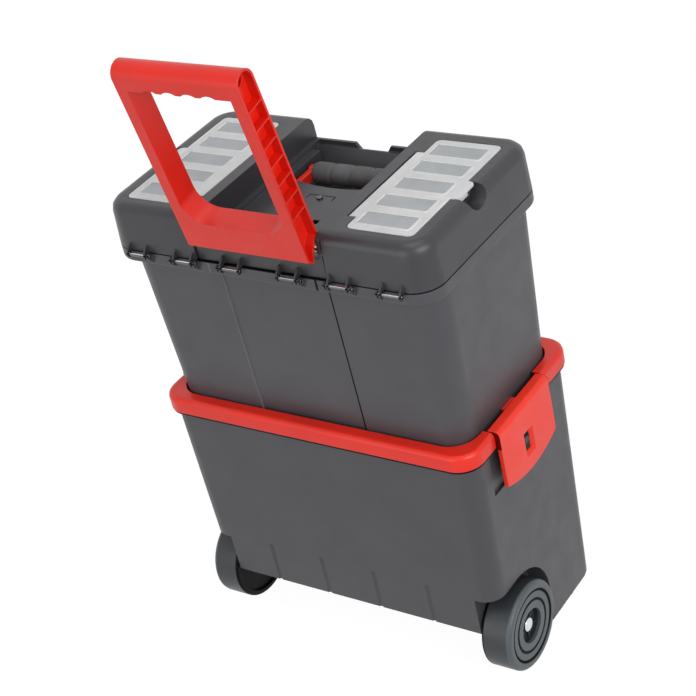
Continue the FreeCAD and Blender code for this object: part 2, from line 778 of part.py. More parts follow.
def make_side_latches():
    axis_x, axis_z = d.latch_axis
    plate_in = d.latch_outer_face - d.latch_plate
    bar_in = axis_x - d.latch_bar_back
    bar_low = d.rim_top - d.latch_top_bar
    shoulder_z = d.rim_top - d.rim_round
    flats = eased(d.rim_round, SEEN_FACETS)
    crown = [(d.latch_outer_face - inset, shoulder_z + rise) for inset, rise in flats]
    bar = prism(
        "latch_bar", "xz", d.latch_span,
        [(bar_in, bar_low), (d.latch_outer_face, bar_low), (d.latch_outer_face, shoulder_z), *crown,
         (bar_in + d.latch_bar_slope, d.rim_top), (bar_in, d.rim_top - 2 * d.latch_bar_slope)],
    )
    half_length = d.latch_length / 2
    arc_radius = (half_length * half_length + d.latch_sag * d.latch_sag) / (2 * d.latch_sag)
    plate = prism(
        "latch_plate_solid", "yz", (plate_in, d.latch_outer_face),
        [(d.latch_span[0], d.latch_bottom, (arc_radius, -1)), (d.latch_span[1], d.latch_bottom),
         (d.latch_span[1], bar_low + OVERLAP), (d.latch_span[0], bar_low + OVERLAP)],
    )
    nose = box(
        "latch_nose",
        (box_half_width(axis_z + d.latch_nose_height) + d.latch_nose_gap, bar_in + OVERLAP),
        grow((d.latch_middle, d.latch_middle), d.latch_nose_width / 2),
        grow((axis_z, axis_z), d.latch_nose_height / 2),
    )
    hole = doc.addObject("Part::Wedge", "latch_hole")
    wide, tall = d.latch_hole_width / 2, d.latch_hole_height / 2
    wide_in, tall_in = wide - d.latch_hole_taper, tall - d.latch_hole_taper
    bind(
        hole, Ymin=0, Ymax=d.latch_plate + 2 * OVERLAP,
        Xmin=-wide, Xmax=wide, Zmin=-tall, Zmax=tall,
        X2min=-wide_in, X2max=wide_in, Z2min=-tall_in, Z2max=tall_in,
    )
    hole.Placement = Placement(Vector(), Rotation(Z_AXIS, 90))
    place(hole, d.latch_outer_face + OVERLAP, d.latch_middle, d.latch_hole_z)
    bore = rod(
        "latch_bore", "y", d.latch_pin_radius + d.running, grow(d.latch_span, OVERLAP), d.latch_axis
    )
    left = cut("side_latch_left_solid", fuse("latch_body", bar, plate, nose), hole, bore)
    node(left, "side_latch_left")
    node(mirrored("side_latch_right_solid", left), "side_latch_right")
    pin = rod(
        "side_latch_pin_left_solid", "y", d.latch_pin_radius,
        grow(d.latch_span, d.latch_pin_reach - d.pin_play), d.latch_axis,
    )
    node(pin, "side_latch_pin_left")
    node(mirrored("side_latch_pin_right_solid", pin), "side_latch_pin_right")


def make_wheels():
    outer, axis_z, radius = d.wheel_outer_face, d.wheel_radius, d.wheel_radius
    groove, deep = d.wheel_groove_width / 2, d.wheel_groove_depth
    hub_start = d.well_inner + d.side_play
    web_face = d.wheel_inner_face + d.wheel_back_recess
    face = outer - d.wheel_groove_depth / 2
    shoulder = axis_z + radius - d.wheel_edge_round
    profile = [
        (hub_start, axis_z + d.axle_radius + d.running),
        (d.hub_face, axis_z + d.axle_radius + d.running),
        (d.hub_face, axis_z + d.wheel_hub_recess),
        (face, axis_z + d.wheel_hub_recess),
        (face, axis_z + d.wheel_groove_inner - groove),
        (face - deep, axis_z + d.wheel_groove_inner),
        (face, axis_z + d.wheel_groove_inner + groove),
        (face, axis_z + d.wheel_groove_outer - groove),
        (face - deep, axis_z + d.wheel_groove_outer),
        (outer, axis_z + d.wheel_groove_outer + groove),
        (outer, shoulder),
        *[(outer - inset, shoulder + rise) for inset, rise in eased(d.wheel_edge_round, SEEN_FACETS)],
        (d.wheel_inner_face + d.wheel_inner_edge, axis_z + radius),
        (d.wheel_inner_face, axis_z + radius - d.wheel_inner_edge),
        (d.wheel_inner_face, axis_z + radius - d.wheel_tread),
        (web_face, axis_z + radius - d.wheel_tread),
        (web_face, axis_z + d.wheel_hub_radius),
        (hub_start, axis_z + d.wheel_hub_radius),
    ]
    section = outline("wheel_outline", "xz", d.wheel_centre, profile)
    disc = turn("wheel_disc", section, d.wheel_centre, axis_z)
    spokes = []
    count = int(value_of(d.wheel_spoke_count))
    start = d.axle_cap_radius + d.wheel_spoke_gap
    for i in range(count):
        spoke = doc.addObject("Part::Box", f"wheel_spoke_{i}")
        bind(
            spoke, Length=d.wheel_spoke_height + OVERLAP, Width=d.wheel_spoke_thickness,
            Height=d.wheel_hub_recess + OVERLAP - start,
        )
        swing = Rotation(X_AXIS, 360.0 * i / count)
        out, aside = swing.multVec(Z_AXIS), swing.multVec(Y_AXIS)
        spoke.Placement = Placement(Vector(), swing)
        place(
            spoke, d.hub_face - OVERLAP,
            d.wheel_centre + start * out.y - d.wheel_spoke_thickness / 2 * aside.y,
            axis_z + start * out.z - d.wheel_spoke_thickness / 2 * aside.z,
        )
        spokes.append(spoke)
    left = fuse("wheel_left_solid", disc, *spokes)
    node(left, "wheel_left")
    node(mirrored("wheel_right_solid", left), "wheel_right")

    axle_line = (d.wheel_centre, axis_z)
    cap_in = d.hub_face + d.side_play
    cap_end = cap_in + d.axle_cap_length
    cap_shoulder = cap_end - d.axle_cap_cover
    axle_end = cap_shoulder - d.fit
    node(rod("axle_solid", "x", d.axle_radius, (-axle_end, axle_end), axle_line), "axle")
    cap_body = fuse(
        "cap_body",
        rod("cap_skirt", "x", d.axle_cap_radius, (cap_in, cap_end - d.axle_cap_edge), axle_line),
        cone("cap_dome", "x", (d.axle_cap_radius, d.axle_cap_radius - d.axle_cap_edge),
             (cap_end - d.axle_cap_edge, cap_end), axle_line),
    )
    cap_socket = rod(
        "cap_socket", "x", d.axle_radius + d.fit, (cap_in - OVERLAP, cap_shoulder), axle_line
    )
    cap = cut("axle_cap_left_solid", cap_body, cap_socket)
    node(cap, "axle_cap_left")
    node(mirrored("axle_cap_right_solid", cap), "axle_cap_right")


def hinge_stations():
    """Middles of the three hinges of one half, and the places of their fins and gussets."""
    last = d.lid_width / 2 - d.lid_corner - d.hinge_plate / 2 - d.hinge_pair
    pitch = (last - d.hinge_first) / 2
    middles = [d.hinge_first + pitch * i for i in range(3)]
    fins = [middle + side * d.hinge_pair for middle in middles for side in (-1, 1)]
    aside = d.hinge_pair + d.hinge_stagger
    gussets = [middles[0] + aside, middles[1] - aside, middles[1] + aside, middles[2] - aside]
    return fins, gussets


def hinge_pin_bores(name, clearance):
    reach = (d.hinge_first - d.hinge_pair - BEYOND, d.lid_width / 2)
    return both_sides(f"{name}_pair", rod(name, "x", d.hinge_pin_radius + clearance, reach, d.hinge_axis))


def hinge_plates(name, stations, points):
    """Thin plates round the hinge line at each station, mirrored to the other half."""
    plates = []
    for i, station in enumerate(stations):
        span = grow((station, station), d.hinge_plate / 2)
        plates.append(rod(f"{name}_eye_{i}", "x", d.hinge_eye_radius, span, d.hinge_axis))
        plates.append(prism(f"{name}_{i}", "yz", span, points))
    return both_sides(f"{name}_all", fuse(f"{name}_half", *plates))


def make_hinge_pins():
    fins, gussets = hinge_stations()
    ends = {
        "hinge_pin_left_inner": (fins[0], gussets[0]),
        "hinge_pin_left": (gussets[1], gussets[2]),
        "hinge_pin_left_outer": (gussets[3], fins[5]),
    }
    for label, span in ends.items():
        pin = rod(f"{label}_solid", "x", d.hinge_pin_radius, grow(span, d.hinge_pin_overhang), d.hinge_axis)
        node(pin, label)
        far = label.replace("left", "right")
        node(mirrored(f"{far}_solid", pin), far)


def make_tool_box():
    flange_low = d.seam - d.flange_height
    foot = (d.box_foot_x, d.box_foot_y, d.box_corner, d.box_foot)
    top = (d.box_top_x, d.box_top_y, d.box_corner, d.flange_top)
    skin = tapered_block("box_skin", *eased_below(foot, d.box_base_round, HIDDEN_FACETS), foot, top)
    hollow = tapered_block(
        "box_hollow", inset_level(foot, d.box_wall, d.box_floor + d.box_wall),
        inset_level(top, d.box_wall, d.flange_top + OVERLAP),
    )
    skirt = (half(d.lid_width), half(d.lid_depth), d.lid_corner, flange_low + d.flange_round)
    block = tapered_block(
        "flange_block", *eased_below(skirt, d.flange_round, HIDDEN_FACETS), skirt,
        inset_level(skirt, 0, d.flange_top),
    )
    inside = inset_level(skirt, d.box_wall, flange_low)
    groove = rounded_block(
        "flange_groove", inside[0], inside[1], (flange_low - OVERLAP, d.flange_top - d.flange_plate),
        inside[2],
    )
    flange = cut("flange", block, groove)

    def panel(name, span, depth):
        """A slab that follows the leaning rear wall and sinks into it by a depth."""
        low = d.box_foot_y[1] - depth
        high = between(d.box_foot_y[1], d.box_top_y[1], flange_low) - depth
        return prism(
            name, "yz", span,
            [(low, d.box_foot), (low + BEYOND, d.box_foot),
             (high + BEYOND, flange_low), (high, flange_low)],
        )

    rear_panel = panel("rear_panel", half(2 * d.panel_half_width), d.panel_depth)
    recessed = cut("box_recessed", skin, rear_panel)
    hinge_y, hinge_z = d.hinge_axis
    root = d.lid_depth / 2 - d.box_wall / 2
    slant = d.hinge_eye_radius * math.sin(math.radians(45))
    gusset = [(root, hinge_z), (root, hinge_z - d.gusset_drop), (hinge_y + slant, hinge_z - slant)]
    walls = cut("box_walls", fuse("box_block", recessed, flange), hollow)
    solid = fuse("box_solid", walls, hinge_plates("gusset", hinge_stations()[1], gusset))
    node(cut("tool_box_solid", solid, hinge_pin_bores("gusset_bore", d.fit)), "tool_box_shell")
    make_hinge_pins()


def cover_outline(name, z, strip_inner, margin):
    """The plan of one organizer cover: the panel, and the hinge strip that starts at strip_inner."""
    panel = rounded_block(
        f"{name}_panel", grow((d.cover_inner, d.cover_outer), margin),
        grow((d.cover_front, d.cover_rear), margin), z, d.cover_corner + margin,
    )
    strip = box(f"{name}_strip", (strip_inner, d.cover_inner + d.cover_corner), grow(d.strip_y, margin), z)
    return fuse(name, panel, strip)


def lid_shells():
    """The outer form of the lid and the hollow shell made from it."""
    wall = d.lid_wall
    base = (half(d.lid_width), half(d.lid_depth), d.lid_corner, d.seam)
    shoulder = inset_level(base, d.lid_draft, d.lid_top - d.lid_edge_round)
    skin = tapered_block(
        "lid_skin", base, shoulder, *eased_above(shoulder, d.lid_edge_round, SEEN_FACETS)
    )
    inner = inset_level(shoulder, wall, d.lid_top - d.lid_edge_round)
    room = tapered_block(
        "lid_room", inset_level(base, wall, d.seam - OVERLAP), inner,
        *eased_above(inner, d.lid_edge_round - wall, HIDDEN_FACETS),
    )
    return skin, cut("lid_hollow", skin, room)


def make_lid():
    wall, over = d.lid_wall, d.lid_top + BEYOND
    front, rear = half(d.lid_depth)
    through_y = (front - BEYOND, rear + BEYOND)
    channel_x = half(2 * d.channel_half_width)
    deck_x = half(2 * d.deck_half_width)
    trough_x = half(2 * d.trough_half_width)
    floor_z = d.deck_z - d.trough_depth
    front_inside = front + wall + d.lid_draft
    deck_y = (front_inside, rear - wall - d.lid_draft - d.rear_recess_depth)
    slope_foot = d.seam + d.front_slope_foot
    carry_y, carry_z = d.carry_axis
    arm_in = d.carry_arm_outer - d.carry_arm_width - d.carry_arm_gap
    arm_out = d.carry_arm_outer + d.carry_arm_gap
    skin, shell = lid_shells()

    def trough(name, margin):
        body = box(
            f"{name}_body", grow(trough_x, margin), grow((d.trough_front, d.trough_rear), margin),
            (floor_z - margin, over),
        )
        bow = rod(
            f"{name}_bow", "z", d.trough_rear_radius + margin, (floor_z - margin - OVERLAP, over + OVERLAP),
            (0, d.trough_rear - d.trough_rear_radius),
        )
        return common(name, body, bow)

    def slots(name, margin):
        """Room for the arms of the carry handle, on both sides."""
        slot = box(
            f"{name}_one", grow((arm_in, arm_out), margin),
            (d.trough_rear - 2 * BEYOND, carry_y + d.carry_arm_height / 2 + d.carry_arm_gap + margin),
            (carry_z - d.carry_slot_depth - margin, over),
        )
        return both_sides(name, slot)

    channel_wall = common("channel_wall", skin, fuse(
        "channel_blocks",
        box("channel_block", grow(channel_x, wall), through_y, (d.ledge_z - wall, over)),
        box("deck_block", grow(deck_x, wall), (deck_y[0] - wall, rear), (d.deck_z - wall, over)),
        prism(
            "slope_block", "yz", grow(deck_x, wall),
            [(front, over), (front, d.ledge_z - wall), (d.trough_front, slope_foot - wall),
             (d.trough_front, over)],
        ),
        box("recess_block", grow(half(2 * d.rear_recess_half), wall),
            (rear - d.rear_recess_depth - 2 * wall, rear), (d.seam, over)),
    ))
    trough_wall = cut(
        "trough_wall", fuse("trough_blocks", trough("trough_out", wall), slots("slot_out", wall)),
        box("trough_trim", half(d.lid_width), through_y, (d.deck_z, over + BEYOND)),
    )
    frame_x = (d.groove_inner - wall, d.cover_outer + d.cover_gap + wall)
    frame_y = grow((d.cover_front, d.cover_rear), d.cover_gap + wall)
    axis_x, axis_z = d.cover_axis
    groove_low = axis_z - d.cover_knuckle_radius - d.cover_gap
    hump_parts = fuse(
        "hump_parts_one",
        common("cover_frame", skin, box(
            "cover_frame_block", frame_x, frame_y, (d.rebate_z - wall, d.lid_top))),
        box("hinge_trough", (d.groove_inner - wall, d.cover_inner),
            grow(d.strip_y, d.cover_peg_length + 2 * wall), (groove_low - wall, d.rebate_z)),
        common("scoop_wall", skin, rod(
            "scoop_wall_rod", "x", d.scoop_radius + wall,
            (d.scoop_start - wall, d.lid_width / 2 + BEYOND), (d.cover_tab_middle, d.lid_top))),
        rod("handle_boss", "x", d.handle_pin_boss,
            (d.channel_half_width, d.channel_half_width + wall + d.handle_pin_boss_length), d.handle_axis),
    )
    fin_root = rear - d.rear_recess_depth - wall / 2
    hinge_y, hinge_z = d.hinge_axis
    fin = [
        (fin_root, d.seam + d.seam_gap),
        (hinge_y + d.hinge_eye_radius * HINGE_FIN_BULGE, hinge_z + d.hinge_below_seam / 2),
        (hinge_y + d.hinge_eye_radius / 2, d.seam + d.hinge_fin_rise / 3),
        (rear, d.seam + d.hinge_fin_rise),
        (fin_root, d.seam + d.hinge_fin_rise),
    ]
    latch_axis = (front - d.front_latch_axis_ahead, d.seam + d.front_latch_axis_rise)
    lug_in = d.front_latch_half_width + d.side_play
    lug_x = (lug_in, lug_in + d.front_latch_lug)
    lug = fuse(
        "latch_lug",
        rod("latch_lug_eye", "x", d.front_latch_eye, lug_x, latch_axis),
        box("latch_lug_web", lug_x, (latch_axis[0], front + wall / 2),
            grow((latch_axis[1], latch_axis[1]), d.front_latch_eye)),
    )
    screw_y = carry_y - d.screw_ahead_axis
    screw_boss = rod(
        "screw_boss", "z", d.screw_boss_radius, (d.deck_z - d.screw_length - wall, d.deck_z - wall / 2),
        (0, screw_y),
    )
    recess = box(
        "rear_recess", half(2 * d.rear_recess_half), (rear - d.rear_recess_depth, rear + BEYOND),
        (d.seam - OVERLAP, over),
    )
    recess_groove = box(
        "recess_groove", (d.rear_recess_half - d.recess_groove_width, d.rear_recess_half),
        (rear - d.rear_recess_depth - d.recess_groove_depth, rear + BEYOND), (d.seam - OVERLAP, over),
    )
    recessed = cut(
        "lid_recessed", fuse("lid_lined", shell, channel_wall, trough_wall),
        recess, both_sides("recess_grooves", recess_groove),
    )
    solid = fuse(
        "lid_solid", recessed, both_sides("hump_parts", hump_parts),
        hinge_plates("fin", hinge_stations()[0], fin), both_sides("latch_lugs", lug), screw_boss,
    )

    notch_low = d.ledge_z - d.notch_depth
    notch = prism(
        "front_notch", "xz", (front - BEYOND, front_inside + OVERLAP),
        [(-d.notch_bottom_half, notch_low), (d.notch_bottom_half, notch_low),
         (d.notch_top_half, d.ledge_z + OVERLAP), (-d.notch_top_half, d.ledge_z + OVERLAP)],
    )
    tray_x = (d.cover_inner + d.tray_flange_width - d.cover_gap, d.cover_outer - d.tray_flange_width)
    tray_y = grow((d.cover_front, d.cover_rear), -d.tray_flange_width)
    drain_y = rear - d.drain_ahead_rear
    hump_cuts = fuse(
        "hump_cuts_one",
        cover_outline("rebate", (d.rebate_z, over), d.groove_inner, d.cover_gap),
        rounded_block(
            "tab_rebate", (d.cover_outer - d.cover_corner, d.cover_outer + d.cover_tab_reach + d.cover_gap),
            grow(d.tab_span, d.cover_gap), (d.rebate_z, over), d.cover_corner,
        ),
        box("hinge_groove", (d.groove_inner, d.cover_inner - d.cover_gap), grow(d.strip_y, d.cover_gap),
            (groove_low, over)),
        rounded_block(
            "tray_opening", tray_x, tray_y, (d.lid_top - d.tray_depth, over),
            d.tray_corner + d.tray_clearance,
        ),
        rod("peg_socket", "y", d.cover_peg_radius + d.running,
            grow(d.strip_y, d.cover_peg_length + d.side_play), d.cover_axis),
        rod("scoop", "x", d.scoop_radius, (d.scoop_start, d.lid_width / 2 + BEYOND),
            (d.cover_tab_middle, d.lid_top)),
        box("drain", grow((d.drain_hole_x, d.drain_hole_x), d.drain_hole / 2),
            grow((drain_y, drain_y), d.drain_hole / 2), (d.deck_z - 2 * wall, d.deck_z + OVERLAP)),
        rod("carry_pin_bore", "x", d.carry_pin_radius + d.fit, grow((arm_in, arm_out), wall), d.carry_axis),
    )
    pin_half = d.channel_half_width + wall + d.handle_pin_boss_length - OVERLAP
    handle_bore = rod(
        "handle_pin_bore", "x", d.handle_pin_radius + d.fit, half(2 * pin_half), d.handle_axis
    )
    screw_bore = rod(
        "screw_bore", "z", d.screw_shank_radius + d.fit,
        (d.deck_z - d.screw_length - d.side_play, d.deck_z + OVERLAP), (0, screw_y),
    )
    latch_bore = rod(
        "front_latch_bore", "x", d.front_latch_pin_radius + d.fit,
        half(2 * lug_x[1] + 2 * OVERLAP), latch_axis,
    )
    front_slope = prism(
        "front_slope", "yz", deck_x,
        [(front_inside, over), (front_inside, d.ledge_z), (d.trough_front - OVERLAP, slope_foot),
         (d.trough_front + OVERLAP, slope_foot), (d.trough_front + OVERLAP, over)],
    )
    lid = cut(
        "lid_shell_solid", solid,
        box("channel", channel_x, through_y, (d.ledge_z, over)),
        box("deck_recess", deck_x, deck_y, (d.deck_z, over)),
        front_slope, trough("trough", 0), slots("slots", 0), notch, deck_groove(screw_y),
        both_sides("hump_cuts", hump_cuts),
        handle_bore, screw_bore, latch_bore, hinge_pin_bores("fin_bore", d.running),
    )
    node(lid, "lid_shell")

    pin_half = pin_half - d.pin_play
    handle_pin = rod("handle_pin_solid", "x", d.handle_pin_radius, half(2 * pin_half), d.handle_axis)
    node(handle_pin, "pull_handle_pin")
    carry_pin = rod("carry_pin", "x", d.carry_pin_radius, grow((arm_in, arm_out), wall), d.carry_axis)
    node(carry_pin, "carry_handle_pin_left")
    node(mirrored("carry_pin_far", carry_pin), "carry_handle_pin_right")
    head_edge, head_top = d.screw_head_edge, d.deck_z + d.screw_head_height
    screw = fuse(
        "deck_screw_solid",
        rod("screw_head", "z", d.screw_head_radius, (d.deck_z, head_top - head_edge), (0, screw_y)),
        cone("screw_dome", "z", (d.screw_head_radius, d.screw_head_radius - head_edge),
             (head_top - head_edge, head_top), (0, screw_y)),
        rod("screw_shank", "z", d.screw_shank_radius,
            (d.deck_z - d.screw_length, d.deck_z + OVERLAP), (0, screw_y)),
    )
    node(screw, "deck_screw")
    latch_pin = rod(
        "front_latch_pin_solid", "x", d.front_latch_pin_radius, half(2 * lug_x[1]), latch_axis
    )
    node(latch_pin, "front_latch_pin")
    make_front_latch(latch_axis, front)
    make_trays(tray_x, tray_y)


def deck_groove(screw_y):
    """A shallow bracket-shaped groove in the deck, ahead of the screw."""
    bar_y = screw_y - d.deck_groove_ahead
    wide = d.deck_groove_half
    z = (d.deck_z - d.deck_groove_depth, d.deck_z + OVERLAP)
    bar = box("deck_groove_bar", half(2 * wide), (bar_y, bar_y + d.deck_groove_width), z)
    leg = box(
        "deck_groove_leg", (wide - d.deck_groove_width, wide), (bar_y, bar_y + d.deck_groove_leg), z
    )
    return fuse("deck_groove", bar, both_sides("deck_groove_legs", leg))


def make_front_latch(axis, lid_front):
    wide = half(2 * d.front_latch_half_width)
    face = lid_front - d.front_latch_gap
    back = face - d.front_latch_plate
    nose_face = lid_front - d.latch_nose_gap
    low = axis[1] - d.front_latch_drop
    plate = prism(
        "front_latch_plate_solid", "yz", wide,
        [(face, axis[1]), (face, low + d.front_latch_nose), (nose_face, low + d.front_latch_nose * 2 / 3),
         (nose_face, low), (back - d.front_latch_plate / 2, low - d.front_latch_nose / 2),
         (back, low + d.front_latch_nose), (back, axis[1])],
    )
    eye = rod("front_latch_eye_solid", "x", d.front_latch_eye, wide, axis)
    bore = rod("front_latch_pivot", "x", d.front_latch_pin_radius + d.running, grow(wide, OVERLAP), axis)
    node(cut("front_latch_solid", fuse("front_latch_body", plate, eye), bore), "front_latch")


def make_trays(opening_x, opening_y):
    outer_x, outer_y = grow(opening_x, -d.tray_clearance), grow(opening_y, -d.tray_clearance)
    floor_z = d.rebate_z - d.tray_depth
    flange_z = (d.rebate_z, d.rebate_z + d.tray_flange)
    body = rounded_block(
        "tray_body", outer_x, outer_y, (floor_z, flange_z[1] - d.tray_flange / 2), d.tray_corner
    )
    flange = rounded_block(
        "tray_flange_plate", (d.cover_inner, d.cover_outer), (d.cover_front, d.cover_rear), flange_z,
        d.cover_corner,
    )
    count = int(value_of(d.tray_compartments))
    inner_x, inner_y = grow(outer_x, -d.tray_wall), grow(outer_y, -d.tray_wall)
    pitch = (inner_y[1] - inner_y[0] + d.tray_wall) / count
    cells = []
    for i in range(count):
        start = inner_y[0] + pitch * i
        cells.append(box(
            f"tray_cell_{i}", inner_x, (start, start + pitch - d.tray_wall),
            (floor_z + d.tray_wall, flange_z[1] + OVERLAP),
        ))
    left = cut("tray_left_solid", fuse("tray_solid", body, flange), *cells)
    node(left, "organizer_tray_left")
    node(mirrored("tray_right_solid", left), "organizer_tray_right")
    make_covers(count)


def clipped_block(name, x, y, z, clip):
    """A block whose four upright corners are cut off straight."""
    return prism(name, "xy", z, [
        (x[0] + clip, y[0]), (x[1] - clip, y[0]), (x[1], y[0] + clip), (x[1], y[1] - clip),
        (x[1] - clip, y[1]), (x[0] + clip, y[1]), (x[0], y[1] - clip), (x[0], y[0] + clip),
    ])


def make_covers(count):
    plate_z = (d.lid_top - d.cover_plate, d.lid_top)
    sheet_form = cover_outline("cover_sheet", plate_z, d.cover_axis[0], 0)
    tab = rounded_block(
        "cover_tab", (d.cover_outer - d.cover_corner, d.cover_outer + d.cover_tab_reach), d.tab_span,
        plate_z, d.cover_corner - d.cover_gap,
    )
    prong_in = d.scoop_start + d.side_play
    prong = box(
        "cover_prong", (prong_in, prong_in + d.cover_prong),
        grow((d.cover_tab_middle, d.cover_tab_middle), d.cover_prong_length / 2),
        (plate_z[0] - d.cover_prong_drop, plate_z[0]),
    )
    knuckle = rod("cover_knuckle", "y", d.cover_knuckle_radius, d.strip_y, d.cover_axis)
    peg = rod("cover_peg", "y", d.cover_peg_radius, grow(d.strip_y, d.cover_peg_length), d.cover_axis)
    window_x = (d.cover_inner + d.cover_window_margin / 2, d.cover_outer - d.cover_window_margin)
    pitch = (d.cover_rear - d.cover_front - 2 * d.cover_window_margin + d.cover_window_gap) / count
    bead_z = (plate_z[1] - d.cover_plate / 2, plate_z[1] + d.cover_bead)
    inner_clip = d.cover_bead_corner - d.cover_bead_width * (2 - math.sqrt(2))
    beads = []
    for i in range(count):
        start = d.cover_front + d.cover_window_margin + pitch * i
        window_y = (start, start + pitch - d.cover_window_gap)
        beads.append(cut(
            f"bead_{i}",
            clipped_block(f"bead_out_{i}", window_x, window_y, bead_z, d.cover_bead_corner),
            clipped_block(
                f"bead_in_{i}", grow(window_x, -d.cover_bead_width), grow(window_y, -d.cover_bead_width),
                grow(bead_z, OVERLAP), inner_clip,
            ),
        ))
    left = fuse("cover_left_solid", sheet_form, tab, prong, knuckle, peg, *beads)
    node(left, "cover_left")
    node(mirrored("cover_right_solid", left), "cover_right")


def handle_side_cells(front_face, rear_face, tube_z, window_half):
    """The open cells in the outer side of one bar, from the hooked foot to the tube's open end."""
    cell_x = (window_half + d.handle_skin, d.handle_half_width + OVERLAP)
    cell_y = (front_face + d.handle_skin, rear_face - d.handle_skin)
    first = d.handle_rib_first - d.handle_rib / 2
    cells = [prism(
        "cell_foot", "yz", cell_x,
        [(cell_y[0], d.handle_front_end + d.handle_skin), (cell_y[0], first), (cell_y[1], first),
         (cell_y[1], d.handle_rear_end + d.handle_skin),
         (d.handle_tip_depth, d.handle_skin - d.handle_tip, (d.handle_hook_radius, -1))],
    )]
    count = int(value_of(d.handle_rib_count))
    pitch = (d.handle_top - d.handle_last_cell - d.handle_rib_first) / (count - 1)
    for i in range(count - 1):
        low = d.handle_rib_first + pitch * i + d.handle_rib / 2
        cells.append(box(f"cell_{i}", cell_x, cell_y, (low, low + pitch - d.handle_rib)))
    last = d.handle_top - d.handle_last_cell + d.handle_rib / 2
    cells.append(box("cell_last", cell_x, cell_y, (last, tube_z)))
    end_radius = (cell_y[1] - cell_y[0]) / 2
    cells.append(rod("cell_tube_end", "x", end_radius, cell_x, ((cell_y[0] + cell_y[1]) / 2, tube_z)))
    return both_sides("handle_cells", fuse("handle_cells_one", *cells))


def make_pull_handle():
    rear_face, front_face = d.handle_rear_face, -d.handle_front_face
    tube_radius = (rear_face - front_face) / 2
    tube_y, tube_z = (rear_face + front_face) / 2, d.handle_top - tube_radius
    width = half(2 * d.handle_half_width)
    side = prism(
        "handle_side", "yz", width,
        [(front_face, d.handle_front_end, (d.handle_hook_radius, 1)), (d.handle_tip_depth, -d.handle_tip),
         (rear_face, d.handle_rear_end), (rear_face, tube_z), (front_face, tube_z)],
    )
    tube = rod("handle_tube", "x", tube_radius, width, (tube_y, tube_z))
    ear_x = grow((d.handle_ear_middle, d.handle_ear_middle), d.handle_ear_width / 2)
    ear_top = d.handle_front_end + d.handle_skin
    ear = fuse(
        "handle_ear",
        rod("handle_ear_eye", "x", d.handle_ear_radius, ear_x, (0, 0)),
        box("handle_ear_web", ear_x, (front_face, d.handle_ear_radius), (0, ear_top)),
    )

    through_y = (front_face - OVERLAP, rear_face + OVERLAP)
    window_half = d.handle_half_width - d.handle_bar
    window_top = d.handle_top - d.window_below_top
    corner = d.window_bottom_round
    window = prism(
        "handle_window", "xz", through_y,
        [(corner - window_half, d.window_bottom), (window_half - corner, d.window_bottom, (corner, -1)),
         (window_half, d.window_bottom + corner), (window_half, window_top), (-window_half, window_top),
         (-window_half, d.window_bottom + corner, (corner, -1))],
    )
    fingers = []
    count = int(value_of(d.finger_count))
    for i in range(count):
        fingers.append(rod(
            f"finger_{i}", "y", d.finger_radius, through_y,
            ((i - (count - 1) / 2) * d.finger_pitch, window_top + d.finger_depth - d.finger_radius),
        ))
    bore_low = window_top + d.finger_depth + d.handle_skin
    bore_high = d.handle_top - d.handle_skin
    bore = rod(
        "handle_tube_bore", "x", (bore_high - bore_low) / 2, grow(width, OVERLAP),
        (tube_y, (bore_high + bore_low) / 2),
    )

    back_cells = []
    cells = int(value_of(d.handle_back_ribs)) + 1
    reach = ear_x[1]
    pitch = 2 * reach / cells
    for i in range(cells):
        start = pitch * i - reach
        back_cells.append(box(
            f"back_cell_{i}", (start + d.handle_rib / 2, start + pitch - d.handle_rib / 2),
            (front_face - OVERLAP, rear_face - d.handle_skin), (ear_top, d.window_bottom - d.handle_skin),
        ))
    pin_bore = rod("handle_ear_bore", "x", d.handle_pin_radius + d.running, grow(width, OVERLAP), (0, 0))
    side_cells = handle_side_cells(front_face, rear_face, tube_z, window_half)
    frame = cut(
        "handle_frame", fuse("handle_block", side, tube), window, bore, side_cells, *fingers, *back_cells
    )
    eared = fuse("handle_with_ears", frame, both_sides("handle_ears", ear))
    handle = cut("pull_handle_solid", eared, pin_bore)
    handle.Placement = Placement(Vector(), Rotation(X_AXIS, -value_of(d.handle_lean)))
    place(handle, 0, *d.handle_axis)
    node(handle, "pull_handle")


def make_carry_handle():
    axis_y, axis_z = d.carry_axis
    grip_y = axis_y - d.carry_reach
    arm_x = (d.carry_arm_outer - d.carry_arm_width, d.carry_arm_outer)
    tall = d.carry_arm_height / 2
    arm = fuse(
        "carry_arm",
        rod("carry_arm_root", "x", tall, arm_x, d.carry_axis),
        box("carry_arm_bar", arm_x, (grip_y, axis_y), grow((axis_z, axis_z), tall)),
        rod("carry_arm_end", "x", d.carry_core_radius + d.carry_arm_gap, arm_x, (grip_y, axis_z)),
    )
    core = rod("carry_core", "x", d.carry_core_radius, half(2 * arm_x[0] + 2 * OVERLAP), (grip_y, axis_z))
    bore = rod(
        "carry_bore", "x", d.carry_pin_radius + d.running, half(2 * arm_x[1] + 2 * OVERLAP), d.carry_axis
    )
    frame = fuse("carry_frame", both_sides("carry_arms", arm), core)
    node(cut("carry_frame_solid", frame, bore), "carry_handle_frame")

    grip_half = arm_x[0] - d.fit
    count = int(value_of(d.grip_swells))
    swell = 2 * grip_half / count
    inner, outer = axis_z + d.carry_core_radius + d.fit, axis_z + d.grip_radius
    points = [(-grip_half, inner)]
    crown = outer + d.grip_swell
    for i in range(count):
        ends = grow((swell * i - grip_half, swell * (i + 1) - grip_half), -(d.grip_valley / 2))
        top = grow(ends, -d.grip_slope)
        points += [(ends[0], outer), (top[0], crown), (top[1], crown), (ends[1], outer)]
    points.insert(1, (-grip_half, outer))
    points += [(grip_half, outer), (grip_half, inner)]
    grip = turn("grip_solid", outline("grip_outline", "xz", grip_y, points), grip_y, axis_z)
    node(grip, "carry_handle_grip")


